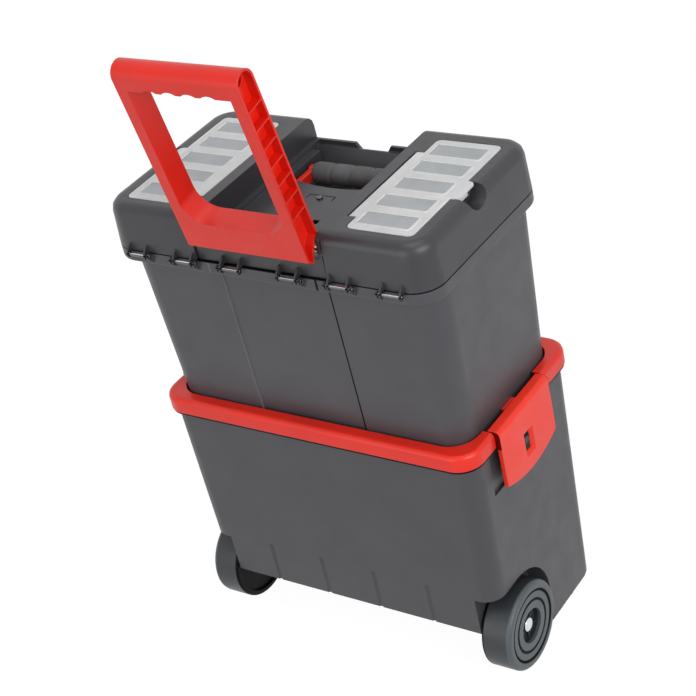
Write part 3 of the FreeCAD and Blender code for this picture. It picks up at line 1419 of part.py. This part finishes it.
make_bin()
make_rim()
make_side_latches()
make_wheels()
make_tool_box()
make_lid()
make_pull_handle()
make_carry_handle()
doc.recompute()

for obj in doc.Objects:
    if "Invalid" in obj.State or "Error" in obj.State:
        raise RuntimeError(f"{obj.Name} failed: {obj.State}")
os.makedirs("parts", exist_ok=True)
for obj in nodes:
    shape = obj.Shape
    if shape.isNull() or not shape.isValid() or not shape.Solids:
        raise RuntimeError(f"{obj.Label}: no valid solid")
    shape.exportStep(os.path.join("parts", f"{obj.Label}.step"))
    print(f"{obj.Label}: {len(shape.Solids)} solid, {shape.Volume / 1000:.1f} cm3")
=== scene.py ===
import json
import math

import bmesh
import bpy
from mathutils import Matrix, Vector


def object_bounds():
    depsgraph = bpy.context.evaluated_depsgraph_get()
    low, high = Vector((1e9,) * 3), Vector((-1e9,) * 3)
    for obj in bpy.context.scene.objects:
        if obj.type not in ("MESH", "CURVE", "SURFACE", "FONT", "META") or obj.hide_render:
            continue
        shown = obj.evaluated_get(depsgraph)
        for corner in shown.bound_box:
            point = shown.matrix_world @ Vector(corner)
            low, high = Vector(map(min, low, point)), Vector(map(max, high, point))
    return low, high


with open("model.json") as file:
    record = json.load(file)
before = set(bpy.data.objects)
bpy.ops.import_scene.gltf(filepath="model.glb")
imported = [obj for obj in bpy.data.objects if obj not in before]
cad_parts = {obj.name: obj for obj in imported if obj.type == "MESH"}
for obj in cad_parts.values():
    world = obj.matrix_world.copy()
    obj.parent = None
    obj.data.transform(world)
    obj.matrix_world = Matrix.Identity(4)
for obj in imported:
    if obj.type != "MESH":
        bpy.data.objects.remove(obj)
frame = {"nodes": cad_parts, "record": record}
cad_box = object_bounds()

# Looks of the two-piece wheeled tool box. Metres, in the same frame as the solids: Z up from the
# floor, the front to -Y, the hinge and the wheels to +Y.

MM = 0.001

# The photograph's camera.
CAMERA_PLACE = Vector((-1.1434, 1.3862, 1.4954))
CAMERA_FORWARD = Vector((0.5424, -0.6529, -0.5287))
CAMERA_UP = Vector((0.1523, -0.5425, 0.8262))
CAMERA_LENS = 93.4
CAMERA_SENSOR = 36.0
CAMERA_NEAR = 0.05

# Square lamps: place, edge and power in watts.
LAMPS = {
    "key": ((-2.0, 0.8, 1.3), 1.4, 28),
    "fill": ((0.5, 2.6, 0.7), 1.8, 20),
    "top": ((-0.3, 0.2, 2.8), 1.6, 14.5),
}

# White stage: what the camera and reflections see glows, what lights the object is dimmer.
FLOOR_HALF = 12
FLOOR_WHITE = (0.50, 0.50, 0.50)
FLOOR_GLOW = 1.20
FLOOR_GLOW_SHARE = 0.8
SURROUNDING_LIGHT = 0.36
BACKDROP_LIGHT = 1.0

# Colours, linear. The bin's and the lid's charcoal are darker copies of the box's: painted shade.
BOX_CHARCOAL = (0.057, 0.057, 0.065)
BIN_SHADED_CHARCOAL = (0.050, 0.050, 0.057)
LID_SHADED_CHARCOAL = (0.033, 0.033, 0.038)
RED = (0.81, 0.019, 0.006)
HANDLE_RED = (0.75, 0.014, 0.004)
LATCH_RED = (0.98, 0.032, 0.012)
WHEEL_GREY = (0.022, 0.026, 0.029)
FROSTED = (0.85, 0.86, 0.87)
FROSTED_WINDOW = (0.53, 0.56, 0.585)
FROSTED_EDGE = (0.95, 0.96, 0.96)
TRAY_GREY = (0.20, 0.205, 0.21)
RUBBER = (0.092, 0.092, 0.096)
ZINC = (0.78, 0.80, 0.79)
DARK_STEEL = (0.14, 0.14, 0.145)

# Detail of the noise patterns.
FINE = 2
MEDIUM = 3
CLOUDY = 4
RAGGED = 5

# Moulded plastic: patch sizes of the patterns, the noise values that they use, and tones as
# multiples of the colour, among them those of painted shade, painted sheen and painted light.
CLOUD_SIZE = 90 * MM
CLOUD_TONES = (0.92, 1.08)
SPECK_SIZE = 0.8 * MM
SPECK_RANGE = (0.45, 0.75)
SPECK_SHARE = 0.35
SPECK_TONE = 1.3
WEAR_AND_SHEEN_SIZE = 14 * MM
WEAR_AND_SHEEN_RANGE = (0.42, 0.68)
WEAR_AND_SHEEN_TONE = 1.9
EDGE_RANGE = (0.52, 0.60)
SHADE_TONE = 0.12
UNSHADED_SHINE = 0.5
SHADED_SHINE = 0.08
GLOSS_SIZE = 30 * MM
GLOSS_BELOW = 0.05
GLOSS_ABOVE = 0.06
LIGHT_SCUFF_AND_SHEEN = 0.06
TRAY_SCUFF_AND_SHEEN = 0.1
WHEEL_SCUFF_AND_SHEEN = 0.3
CHANNEL_LIGHT_TONE = 1.45
GLINT_TONE = 2.2
WHEEL_FACE_LIGHT_TONE = 3.2

# Relief of the surfaces: width and depth of the grain.
CHARCOAL_GRAIN = (0.55 * MM, 0.05 * MM)
RED_GRAIN = (0.9 * MM, 0.025 * MM)
WHEEL_GRAIN = (0.7 * MM, 0.04 * MM)
TRAY_GRAIN = (0.8 * MM, 0.03 * MM)
FROST_GRAIN = (0.7 * MM, 0.03 * MM)
RUBBER_GRAIN = (0.6 * MM, 0.05 * MM)
STEEL_LINES = (1.2 * MM, 0.02 * MM)
STEEL_STRETCH = (0.08, 1, 1)

# Frosted plastic, rubber and steel: patch sizes, tones and roughness.
FROST_CLOUD = 25 * MM
FRAME_TONES = (0.95, 1.05)
WINDOW_TONES = (0.92, 1.08)
FROST_GLOSS_SIZE = 6 * MM
FROST_ROUGHNESS = (0.34, 0.46)
FROST_TRANSMISSION = 0.25
FROST_IOR = 1.46
RUBBER_CLOUD = 20 * MM
RUBBER_TONES = (0.85, 1.25)
RUBBER_GLOSS_SIZE = 9 * MM
RUBBER_ROUGHNESS = (0.52, 0.66)
STEEL_CLOUD = 7 * MM
STEEL_TONES = (0.85, 1.0)
STEEL_GLOSS_SIZE = 3 * MM
STEEL_ROUGHNESS = (0.20, 0.34)

# Windows of the organizer covers, in millimetres: five on each side, one behind the other.
WINDOW_MIDDLE_X = 146.75
WINDOW_HALF_X = 32.0
WINDOW_FIRST_Y = -72.1
WINDOW_HALF_Y = 11.7
WINDOW_PITCH = 37.3
WINDOW_RIM = 1.1

# Ring grooves and inner side of the wheels, where shade is painted, and outer face, where light is
# painted, in millimetres, round the axle.
AXLE_Y = 57.3
AXLE_Z = 55.5
RING_RADII = (32.6, 44.0)
RING_HALF = 2.5
WHEEL_BACK = 182.4
WHEEL_FACE = 212.5

# Lines and places on the pieces where shade and light are painted, in millimetres.
SEAM_Z = 555.8
SEAM_HALF = 0.9
LIP_LOW = 318.8
PANEL_EDGE_X = 73.0
PANEL_LINE = 3.2
PANEL_HIGHLIGHT_LINE = 2.0
PANEL_FRONT_Y = 80.0
CHANNEL_HALF_X = 80.5
CHANNEL_REAR_Y = 100.0
PIN_SHINE_Z = 555.4
LATCH_ENDS = (-55.2, 61.2)
LATCH_GAP_HALF = 0.7
LATCH_INNER_X = 203.0

# Moulded edges.
SHADED_ROUND = 1.0 * MM
SHADED_SAMPLES = 4
SHARP_ANGLE = math.radians(34)
FLAT_ANGLE = math.radians(0.3)
WELD_GAP = 0.005 * MM
BEVEL_SEGMENTS = 2
NORMAL_WEIGHT = 100


class Shader:
    """A material with one surface shader and short ways to add the nodes that feed it."""

    def __init__(self, name):
        self.material = bpy.data.materials.new(name)
        self.material.use_nodes = True
        self.tree = self.material.node_tree
        self.tree.nodes.clear()
        self.surface = self.add("ShaderNodeBsdfPrincipled")
        output = self.add("ShaderNodeOutputMaterial")
        self.link(self.surface.outputs["BSDF"], output.inputs["Surface"])
        self.place = self.add("ShaderNodeTexCoord").outputs["Object"]

    def add(self, kind):
        return self.tree.nodes.new(kind)

    def link(self, source, target):
        self.tree.links.new(source, target)

    def noise(self, size, detail, stretch=(1, 1, 1)):
        """Cloudy values from 0 to 1 whose patches are about size metres wide."""
        scaled = self.add("ShaderNodeMapping")
        scaled.inputs["Scale"].default_value = stretch
        self.link(self.place, scaled.inputs["Vector"])
        node = self.add("ShaderNodeTexNoise")
        node.inputs["Scale"].default_value = 1 / size
        node.inputs["Detail"].default_value = detail
        self.link(scaled.outputs["Vector"], node.inputs["Vector"])
        return node.outputs["Fac"]

    def spread(self, source, low, high, start=0.3, end=0.7):
        """Carries values from start..end to low..high; the defaults suit noise."""
        node = self.add("ShaderNodeMapRange")
        node.inputs["From Min"].default_value = start
        node.inputs["From Max"].default_value = end
        node.inputs["To Min"].default_value = low
        node.inputs["To Max"].default_value = high
        self.link(source, node.inputs["Value"])
        return node.outputs["Result"]

    def blend(self, share, first, second, kind="MIX"):
        """One colour turning into another with the share; a colour may be fixed or a socket."""
        node = self.add("ShaderNodeMix")
        node.data_type = "RGBA"
        node.blend_type = kind
        self.link(share, node.inputs["Factor"])
        for name, colour in (("A", first), ("B", second)):
            socket = next(s for s in node.inputs if s.name == name and s.type == "RGBA")
            if isinstance(colour, tuple):
                socket.default_value = (*colour, 1)
            else:
                self.link(colour, socket)
        return next(s for s in node.outputs if s.type == "RGBA")

    def clouded(self, colour, size, tones):
        """A colour that drifts between two tones in cloudy patches."""
        clouds = self.spread(self.noise(size, CLOUDY), 0, 1)
        return self.blend(clouds, toned(colour, tones[0]), toned(colour, tones[1]))

    def parts(self):
        """The x, y and z of the place on the piece."""
        node = self.add("ShaderNodeSeparateXYZ")
        self.link(self.place, node.inputs["Vector"])
        return node.outputs

    def sums(self, operation, first, second=0.0):
        """A sum of two values; each may be fixed or a socket."""
        node = self.add("ShaderNodeMath")
        node.operation = operation
        for socket, value in zip(node.inputs, (first, second)):
            if isinstance(value, (int, float)):
                socket.default_value = value
            else:
                self.link(value, socket)
        return node.outputs["Value"]

    def off(self, value, middle):
        """The distance of a value from a middle in millimetres."""
        return self.sums("ABSOLUTE", self.sums("SUBTRACT", value, middle * MM))

    def near(self, value, middle, half):
        """1 where a value lies within half of the middle, both in millimetres, else 0."""
        return self.sums("LESS_THAN", self.off(value, middle), half * MM)

    def above(self, value, limit):
        """1 where a value is above a limit in millimetres, else 0."""
        return self.sums("GREATER_THAN", value, limit * MM)

    def set(self, name, value):
        socket = self.surface.inputs[name]
        if isinstance(value, bpy.types.NodeSocket):
            self.link(value, socket)
        else:
            socket.default_value = value

    def bump(self, height, depth, edge_round=0.0):
        """Fine relief of the surface, over edges that are shaded as if rounded."""
        node = self.add("ShaderNodeBump")
        node.inputs["Distance"].default_value = depth
        self.link(height, node.inputs["Height"])
        if edge_round:
            rounded = self.add("ShaderNodeBevel")
            rounded.samples = SHADED_SAMPLES
            rounded.inputs["Radius"].default_value = edge_round
            self.link(rounded.outputs["Normal"], node.inputs["Normal"])
        self.set("Normal", node.outputs["Normal"])

    def edges(self):
        """1 on convex edges, 0 on flats."""
        pointiness = self.add("ShaderNodeNewGeometry").outputs["Pointiness"]
        return self.spread(pointiness, 0, 1, *EDGE_RANGE)


def toned(colour, factor):
    return tuple(min(1.0, c * factor) for c in colour)


def wheel_painted_shade(s):
    """Painted shade of the wheels: in the ring grooves, and on the sides that face each other."""
    x, y, z = s.parts()
    y_off = s.off(y, AXLE_Y)
    z_off = s.off(z, AXLE_Z)
    square = s.sums("ADD", s.sums("MULTIPLY", y_off, y_off), s.sums("MULTIPLY", z_off, z_off))
    radius = s.sums("SQRT", square)
    nearest = s.sums("MINIMUM", *[s.off(radius, ring) for ring in RING_RADII])
    grooves = s.spread(nearest, 1, 0, RING_HALF / 2 * MM, RING_HALF * MM)
    return s.sums("MAXIMUM", grooves, s.near(x, 0, WHEEL_BACK))


def wheel_face_painted_light(s):
    """Painted light on the outer faces of the wheels, paler than the treads."""
    return s.above(s.sums("ABSOLUTE", s.parts()["X"]), WHEEL_FACE)


def lid_channel_painted_light(s):
    """Painted light on the deck and the trough between the humps of the lid."""
    x, y, _ = s.parts()
    ahead = s.sums("LESS_THAN", y, CHANNEL_REAR_Y * MM)
    return s.sums("MULTIPLY", s.near(x, 0, CHANNEL_HALF_X), ahead)


def pin_painted_highlight(s):
    """Painted highlight along the upper side of the hinge pins."""
    return s.above(s.parts()["Z"], PIN_SHINE_Z)


def seam_line(s):
    """The shadow gap between the lid and the tool box."""
    return s.near(s.parts()["Z"], SEAM_Z, SEAM_HALF)


def panel_edge(s, middle, half):
    """An upright line on the rear wall of the tool box."""
    x, y, _ = s.parts()
    return s.sums("MULTIPLY", s.near(x, middle, half), s.above(y, PANEL_FRONT_Y))


def box_painted_shade(s):
    """Painted shade: the seam's shadow gap, and a painted shadow along one edge of the rear panel."""
    line = panel_edge(s, PANEL_LINE / 2 - PANEL_EDGE_X, PANEL_LINE / 2)
    return s.sums("MAXIMUM", seam_line(s), line)


def panel_glint(s):
    """A painted highlight along the other edge of the rear panel."""
    return panel_edge(s, PANEL_EDGE_X, PANEL_HIGHLIGHT_LINE / 2)


def lip_line(s):
    """The bin's lip, in the shade under the collar."""
    return s.above(s.parts()["Z"], LIP_LOW)


def latch_gap_shade(s):
    """Painted shade in the gaps between the collar and the ends of the side latches."""
    x, y, z = s.parts()
    line = s.sums("MAXIMUM", *[s.near(y, end, LATCH_GAP_HALF) for end in LATCH_ENDS])
    outside = s.above(s.sums("ABSOLUTE", x), LATCH_INNER_X)
    return s.sums("MULTIPLY", line, s.sums("MULTIPLY", outside, s.above(z, LIP_LOW)))


def cover_windows(s):
    """A mask of the covers' windows, grown by a margin in millimetres."""
    x, y, _ = s.parts()
    row_start = (WINDOW_FIRST_Y - WINDOW_PITCH / 2) * MM
    in_row = s.sums("FLOORED_MODULO", s.sums("SUBTRACT", y, row_start), WINDOW_PITCH * MM)
    side = s.sums("ABSOLUTE", x)

    def mask(margin):
        across = s.near(side, WINDOW_MIDDLE_X, WINDOW_HALF_X + margin)
        return s.sums("MULTIPLY", across, s.near(in_row, WINDOW_PITCH / 2, WINDOW_HALF_Y + margin))

    return mask


def moulded_plastic(name, colour, roughness, grain, scuff_and_sheen, painted_shade=None, painted_light=None, light_tone=1.0):
    """Moulded plastic: a spark-eroded grain, faint flow clouds, and convex edges worn paler with a
    painted sheen. Masks say where light is painted paler and where shade is painted darker."""
    s = Shader(name)
    tone = s.clouded(colour, CLOUD_SIZE, CLOUD_TONES)
    specks = s.spread(s.noise(SPECK_SIZE, FINE), 0, SPECK_SHARE, *SPECK_RANGE)
    tone = s.blend(specks, tone, toned(colour, SPECK_TONE))
    # Convex edges worn paler, with a painted sheen from the light.
    wear_and_sheen = s.spread(s.noise(WEAR_AND_SHEEN_SIZE, RAGGED), 0, scuff_and_sheen, *WEAR_AND_SHEEN_RANGE)
    tone = s.blend(s.sums("MULTIPLY", s.edges(), wear_and_sheen), tone, toned(colour, WEAR_AND_SHEEN_TONE))
    # Painted light: paler where its mask says.
    if painted_light:
        tone = s.blend(painted_light(s), tone, (light_tone, light_tone, light_tone), "MULTIPLY")
    # Painted shade: darker and duller where its mask says.
    if painted_shade:
        dark = painted_shade(s)
        tone = s.blend(dark, tone, toned(colour, SHADE_TONE))
        s.set("Specular IOR Level", s.spread(dark, UNSHADED_SHINE, SHADED_SHINE, 0, 1))
    s.set("Base Color", tone)
    gloss = s.noise(GLOSS_SIZE, CLOUDY)
    s.set("Roughness", s.spread(gloss, roughness - GLOSS_BELOW, roughness + GLOSS_ABOVE))
    width, depth = grain
    s.bump(s.noise(width, FINE), depth, SHADED_ROUND)
    return s.material


def frosted_plastic(name):
    """Cloudy, see-through plastic of the organizer covers: paler frame, thinner windows."""
    s = Shader(name)
    windows = cover_windows(s)
    tone = s.clouded(FROSTED, FROST_CLOUD, FRAME_TONES)
    tone = s.blend(windows(WINDOW_RIM), tone, FROSTED_EDGE)
    tone = s.blend(windows(0), tone, s.clouded(FROSTED_WINDOW, FROST_CLOUD, WINDOW_TONES))
    s.set("Base Color", s.blend(s.edges(), tone, FROSTED_EDGE))
    s.set("Roughness", s.spread(s.noise(FROST_GLOSS_SIZE, MEDIUM), *FROST_ROUGHNESS))
    s.set("Transmission Weight", FROST_TRANSMISSION)
    s.set("IOR", FROST_IOR)
    width, depth = FROST_GRAIN
    s.bump(s.noise(width, FINE), depth)
    return s.material


def rubber(name):
    s = Shader(name)
    s.set("Base Color", s.clouded(RUBBER, RUBBER_CLOUD, RUBBER_TONES))
    s.set("Roughness", s.spread(s.noise(RUBBER_GLOSS_SIZE, MEDIUM), *RUBBER_ROUGHNESS))
    width, depth = RUBBER_GRAIN
    s.bump(s.noise(width, FINE), depth)
    return s.material


def steel(name, colour, painted_highlight=None):
    """Drawn steel: fine lines along X, small clouds of tarnish, and a painted highlight where a mask
    says.
    """
    s = Shader(name)
    tone = s.clouded(colour, STEEL_CLOUD, STEEL_TONES)
    if painted_highlight:
        tone = s.blend(painted_highlight(s), tone, ZINC)
    s.set("Base Color", tone)
    s.set("Metallic", 1.0)
    s.set("Roughness", s.spread(s.noise(STEEL_GLOSS_SIZE, MEDIUM), *STEEL_ROUGHNESS))
    width, depth = STEEL_LINES
    s.bump(s.noise(width, FINE, STEEL_STRETCH), depth)
    return s.material


# The bin's and the lid's charcoal: darker copies of the box's, painted shade.
bin_shaded_charcoal = moulded_plastic(
    "bin_plastic", BIN_SHADED_CHARCOAL, roughness=0.42, grain=CHARCOAL_GRAIN, scuff_and_sheen=LIGHT_SCUFF_AND_SHEEN, painted_shade=lip_line,
)
box_charcoal = moulded_plastic(
    "box_plastic", BOX_CHARCOAL, roughness=0.42, grain=CHARCOAL_GRAIN, scuff_and_sheen=LIGHT_SCUFF_AND_SHEEN, painted_shade=box_painted_shade,
    painted_light=panel_glint, light_tone=GLINT_TONE,
)
lid_shaded_charcoal = moulded_plastic(
    "lid_plastic", LID_SHADED_CHARCOAL, roughness=0.36, grain=CHARCOAL_GRAIN, scuff_and_sheen=LIGHT_SCUFF_AND_SHEEN, painted_shade=seam_line,
    painted_light=lid_channel_painted_light, light_tone=CHANNEL_LIGHT_TONE,
)
red = moulded_plastic("red_plastic", RED, roughness=0.36, grain=RED_GRAIN, scuff_and_sheen=LIGHT_SCUFF_AND_SHEEN)
handle_red = moulded_plastic(
    "handle_plastic", HANDLE_RED, roughness=0.36, grain=RED_GRAIN, scuff_and_sheen=LIGHT_SCUFF_AND_SHEEN,
)
collar_red = moulded_plastic(
    "collar_plastic", RED, roughness=0.36, grain=RED_GRAIN, scuff_and_sheen=LIGHT_SCUFF_AND_SHEEN, painted_shade=latch_gap_shade,
)
latch_red = moulded_plastic(
    "latch_plastic", LATCH_RED, roughness=0.36, grain=RED_GRAIN, scuff_and_sheen=LIGHT_SCUFF_AND_SHEEN, painted_shade=latch_gap_shade,
)
wheel_grey = moulded_plastic(
    "wheel_plastic", WHEEL_GREY, roughness=0.42, grain=WHEEL_GRAIN, scuff_and_sheen=WHEEL_SCUFF_AND_SHEEN, painted_shade=wheel_painted_shade,
    painted_light=wheel_face_painted_light, light_tone=WHEEL_FACE_LIGHT_TONE,
)
tray_grey = moulded_plastic(
    "tray_plastic", TRAY_GREY, roughness=0.40, grain=TRAY_GRAIN, scuff_and_sheen=TRAY_SCUFF_AND_SHEEN,
)
frosted = frosted_plastic("frosted_plastic")
grip_rubber = rubber("grip_rubber")
zinc = steel("zinc_steel", ZINC)
dark_steel = steel("dark_steel", DARK_STEEL)
pin_steel_painted_highlight = steel("pin_steel_painted_highlight", DARK_STEEL, pin_painted_highlight)

# Material and edge rounding of each slot.
FINISHES = {
    "body_plastic": (box_charcoal, 0.7 * MM),
    "red_plastic": (red, 0.9 * MM),
    "wheel_plastic": (wheel_grey, 0.6 * MM),
    "frosted_plastic": (frosted, 0.3 * MM),
    "tray_plastic": (tray_grey, 0.3 * MM),
    "grip_rubber": (grip_rubber, 0.5 * MM),
    "steel": (zinc, 0.25 * MM),
}

# Pieces whose plastic or steel differs from that of their slot, besides the hinge pins.
OWN_FINISH = {
    "lid_shell": lid_shaded_charcoal,
    "bin_shell": bin_shaded_charcoal,
    "rim_collar": collar_red,
    "side_latch_left": latch_red,
    "side_latch_right": latch_red,
    "pull_handle": handle_red,
    "deck_screw": dark_steel,
}

# Pieces whose sharp edges are rounded by shading alone: thin webs leave the mesh no room for it.
SHARP_MESHES = {
    "lid_shell", "tool_box_shell", "pull_handle", "organizer_tray_left", "organizer_tray_right",
    "side_latch_left", "side_latch_right",
}


def dress(obj, material, edge_round):
    """Gives a solid its material, and rounds its sharp edges as a mould does."""
    mesh = obj.data
    mesh.materials.clear()
    mesh.materials.append(material)
    custom = mesh.attributes.get("custom_normal")
    if custom:
        mesh.attributes.remove(custom)
    mesh.shade_smooth()
    weld = obj.modifiers.new("weld", "WELD")
    weld.merge_threshold = WELD_GAP
    flats = obj.modifiers.new("flats", "DECIMATE")
    flats.decimate_type = "DISSOLVE"
    flats.angle_limit = FLAT_ANGLE
    if edge_round:
        edges = obj.modifiers.new("edges", "BEVEL")
        edges.width = edge_round
        edges.segments = BEVEL_SEGMENTS
        edges.limit_method = "ANGLE"
        edges.angle_limit = SHARP_ANGLE
        edges.use_clamp_overlap = True
    else:
        edges = obj.modifiers.new("edges", "EDGE_SPLIT")
        edges.split_angle = SHARP_ANGLE
    normals = obj.modifiers.new("normals", "WEIGHTED_NORMAL")
    normals.mode = "FACE_AREA"
    normals.weight = NORMAL_WEIGHT


for part in frame["record"]["subparts"]:
    node = part["node"]
    material, edge_round = FINISHES[part["material_slot"]]
    material = OWN_FINISH.get(node, material)
    # The hinge pins: steel with a painted highlight along the top.
    if node.startswith("hinge_pin"):
        material = pin_steel_painted_highlight
    if node in SHARP_MESHES:
        edge_round = 0
    dress(frame["nodes"][node], material, edge_round)


def direct_rays(tree):
    """1 for rays from the camera and for reflected and refracted ones, else 0."""
    path = tree.nodes.new("ShaderNodeLightPath")
    share = path.outputs["Is Camera Ray"]
    for name in ("Is Glossy Ray", "Is Transmission Ray"):
        either = tree.nodes.new("ShaderNodeMath")
        either.operation = "MAXIMUM"
        tree.links.new(share, either.inputs[0])
        tree.links.new(path.outputs[name], either.inputs[1])
        share = either.outputs["Value"]
    return share


def make_floor():
    """A pale floor that keeps the object's shadow."""
    mesh = bpy.data.meshes.new("floor")
    form = bmesh.new()
    bmesh.ops.create_grid(form, x_segments=1, y_segments=1, size=FLOOR_HALF)
    form.to_mesh(mesh)
    form.free()
    floor = bpy.data.objects.new("floor", mesh)
    bpy.context.scene.collection.objects.link(floor)
    material = bpy.data.materials.new("pale_floor")
    material.use_nodes = True
    tree = material.node_tree
    tree.nodes.clear()
    matt = tree.nodes.new("ShaderNodeBsdfDiffuse")
    matt.inputs["Color"].default_value = (*FLOOR_WHITE, 1)
    glow = tree.nodes.new("ShaderNodeEmission")
    glow.inputs["Strength"].default_value = FLOOR_GLOW
    share = tree.nodes.new("ShaderNodeMixShader")
    soften = tree.nodes.new("ShaderNodeMath")
    soften.operation = "MULTIPLY"
    soften.inputs[1].default_value = FLOOR_GLOW_SHARE
    output = tree.nodes.new("ShaderNodeOutputMaterial")
    for source, target in (
        (direct_rays(tree), soften.inputs[0]),
        (soften.outputs["Value"], share.inputs["Fac"]),
        (matt.outputs["BSDF"], share.inputs[1]),
        (glow.outputs["Emission"], share.inputs[2]),
        (share.outputs["Shader"], output.inputs["Surface"]),
    ):
        tree.links.new(source, target)
    mesh.materials.append(material)


def make_surroundings():
    """Even white surroundings."""
    world = bpy.data.worlds.new("studio")
    bpy.context.scene.world = world
    world.use_nodes = True
    tree = world.node_tree
    tree.nodes.clear()
    backdrop = tree.nodes.new("ShaderNodeBackground")
    backdrop.inputs["Color"].default_value = (1, 1, 1, 1)
    strength = tree.nodes.new("ShaderNodeMapRange")
    strength.inputs["To Min"].default_value = SURROUNDING_LIGHT
    strength.inputs["To Max"].default_value = BACKDROP_LIGHT
    output = tree.nodes.new("ShaderNodeOutputWorld")
    tree.links.new(direct_rays(tree), strength.inputs["Value"])
    tree.links.new(strength.outputs["Result"], backdrop.inputs["Strength"])
    tree.links.new(backdrop.outputs["Background"], output.inputs["Surface"])


def soft_box(name, place, size, power):
    """A large square lamp that faces the middle of the object."""
    lamp = bpy.data.lights.new(name, "AREA")
    lamp.energy = power
    lamp.size = size
    obj = bpy.data.objects.new(name, lamp)
    bpy.context.scene.collection.objects.link(obj)
    obj.location = place
    middle = (cad_box[0] + cad_box[1]) / 2
    obj.rotation_euler = (middle - Vector(place)).to_track_quat("-Z", "Y").to_euler()


def make_camera():
    lens = bpy.data.cameras.new("camera")
    lens.lens = CAMERA_LENS
    lens.sensor_width = CAMERA_SENSOR
    lens.clip_start = CAMERA_NEAR
    camera = bpy.data.objects.new("camera", lens)
    bpy.context.scene.collection.objects.link(camera)
    back = -CAMERA_FORWARD.normalized()
    right = CAMERA_UP.cross(back).normalized()
    up = back.cross(right)
    turn = Matrix((right, up, back)).transposed()
    camera.matrix_world = Matrix.Translation(CAMERA_PLACE) @ turn.to_4x4()
    bpy.context.scene.camera = camera


make_floor()
make_surroundings()
make_camera()
for lamp_name, (lamp_place, lamp_size, lamp_power) in LAMPS.items():
    soft_box(lamp_name, lamp_place, lamp_size, lamp_power)
bpy.context.scene.view_settings.view_transform = "Standard"
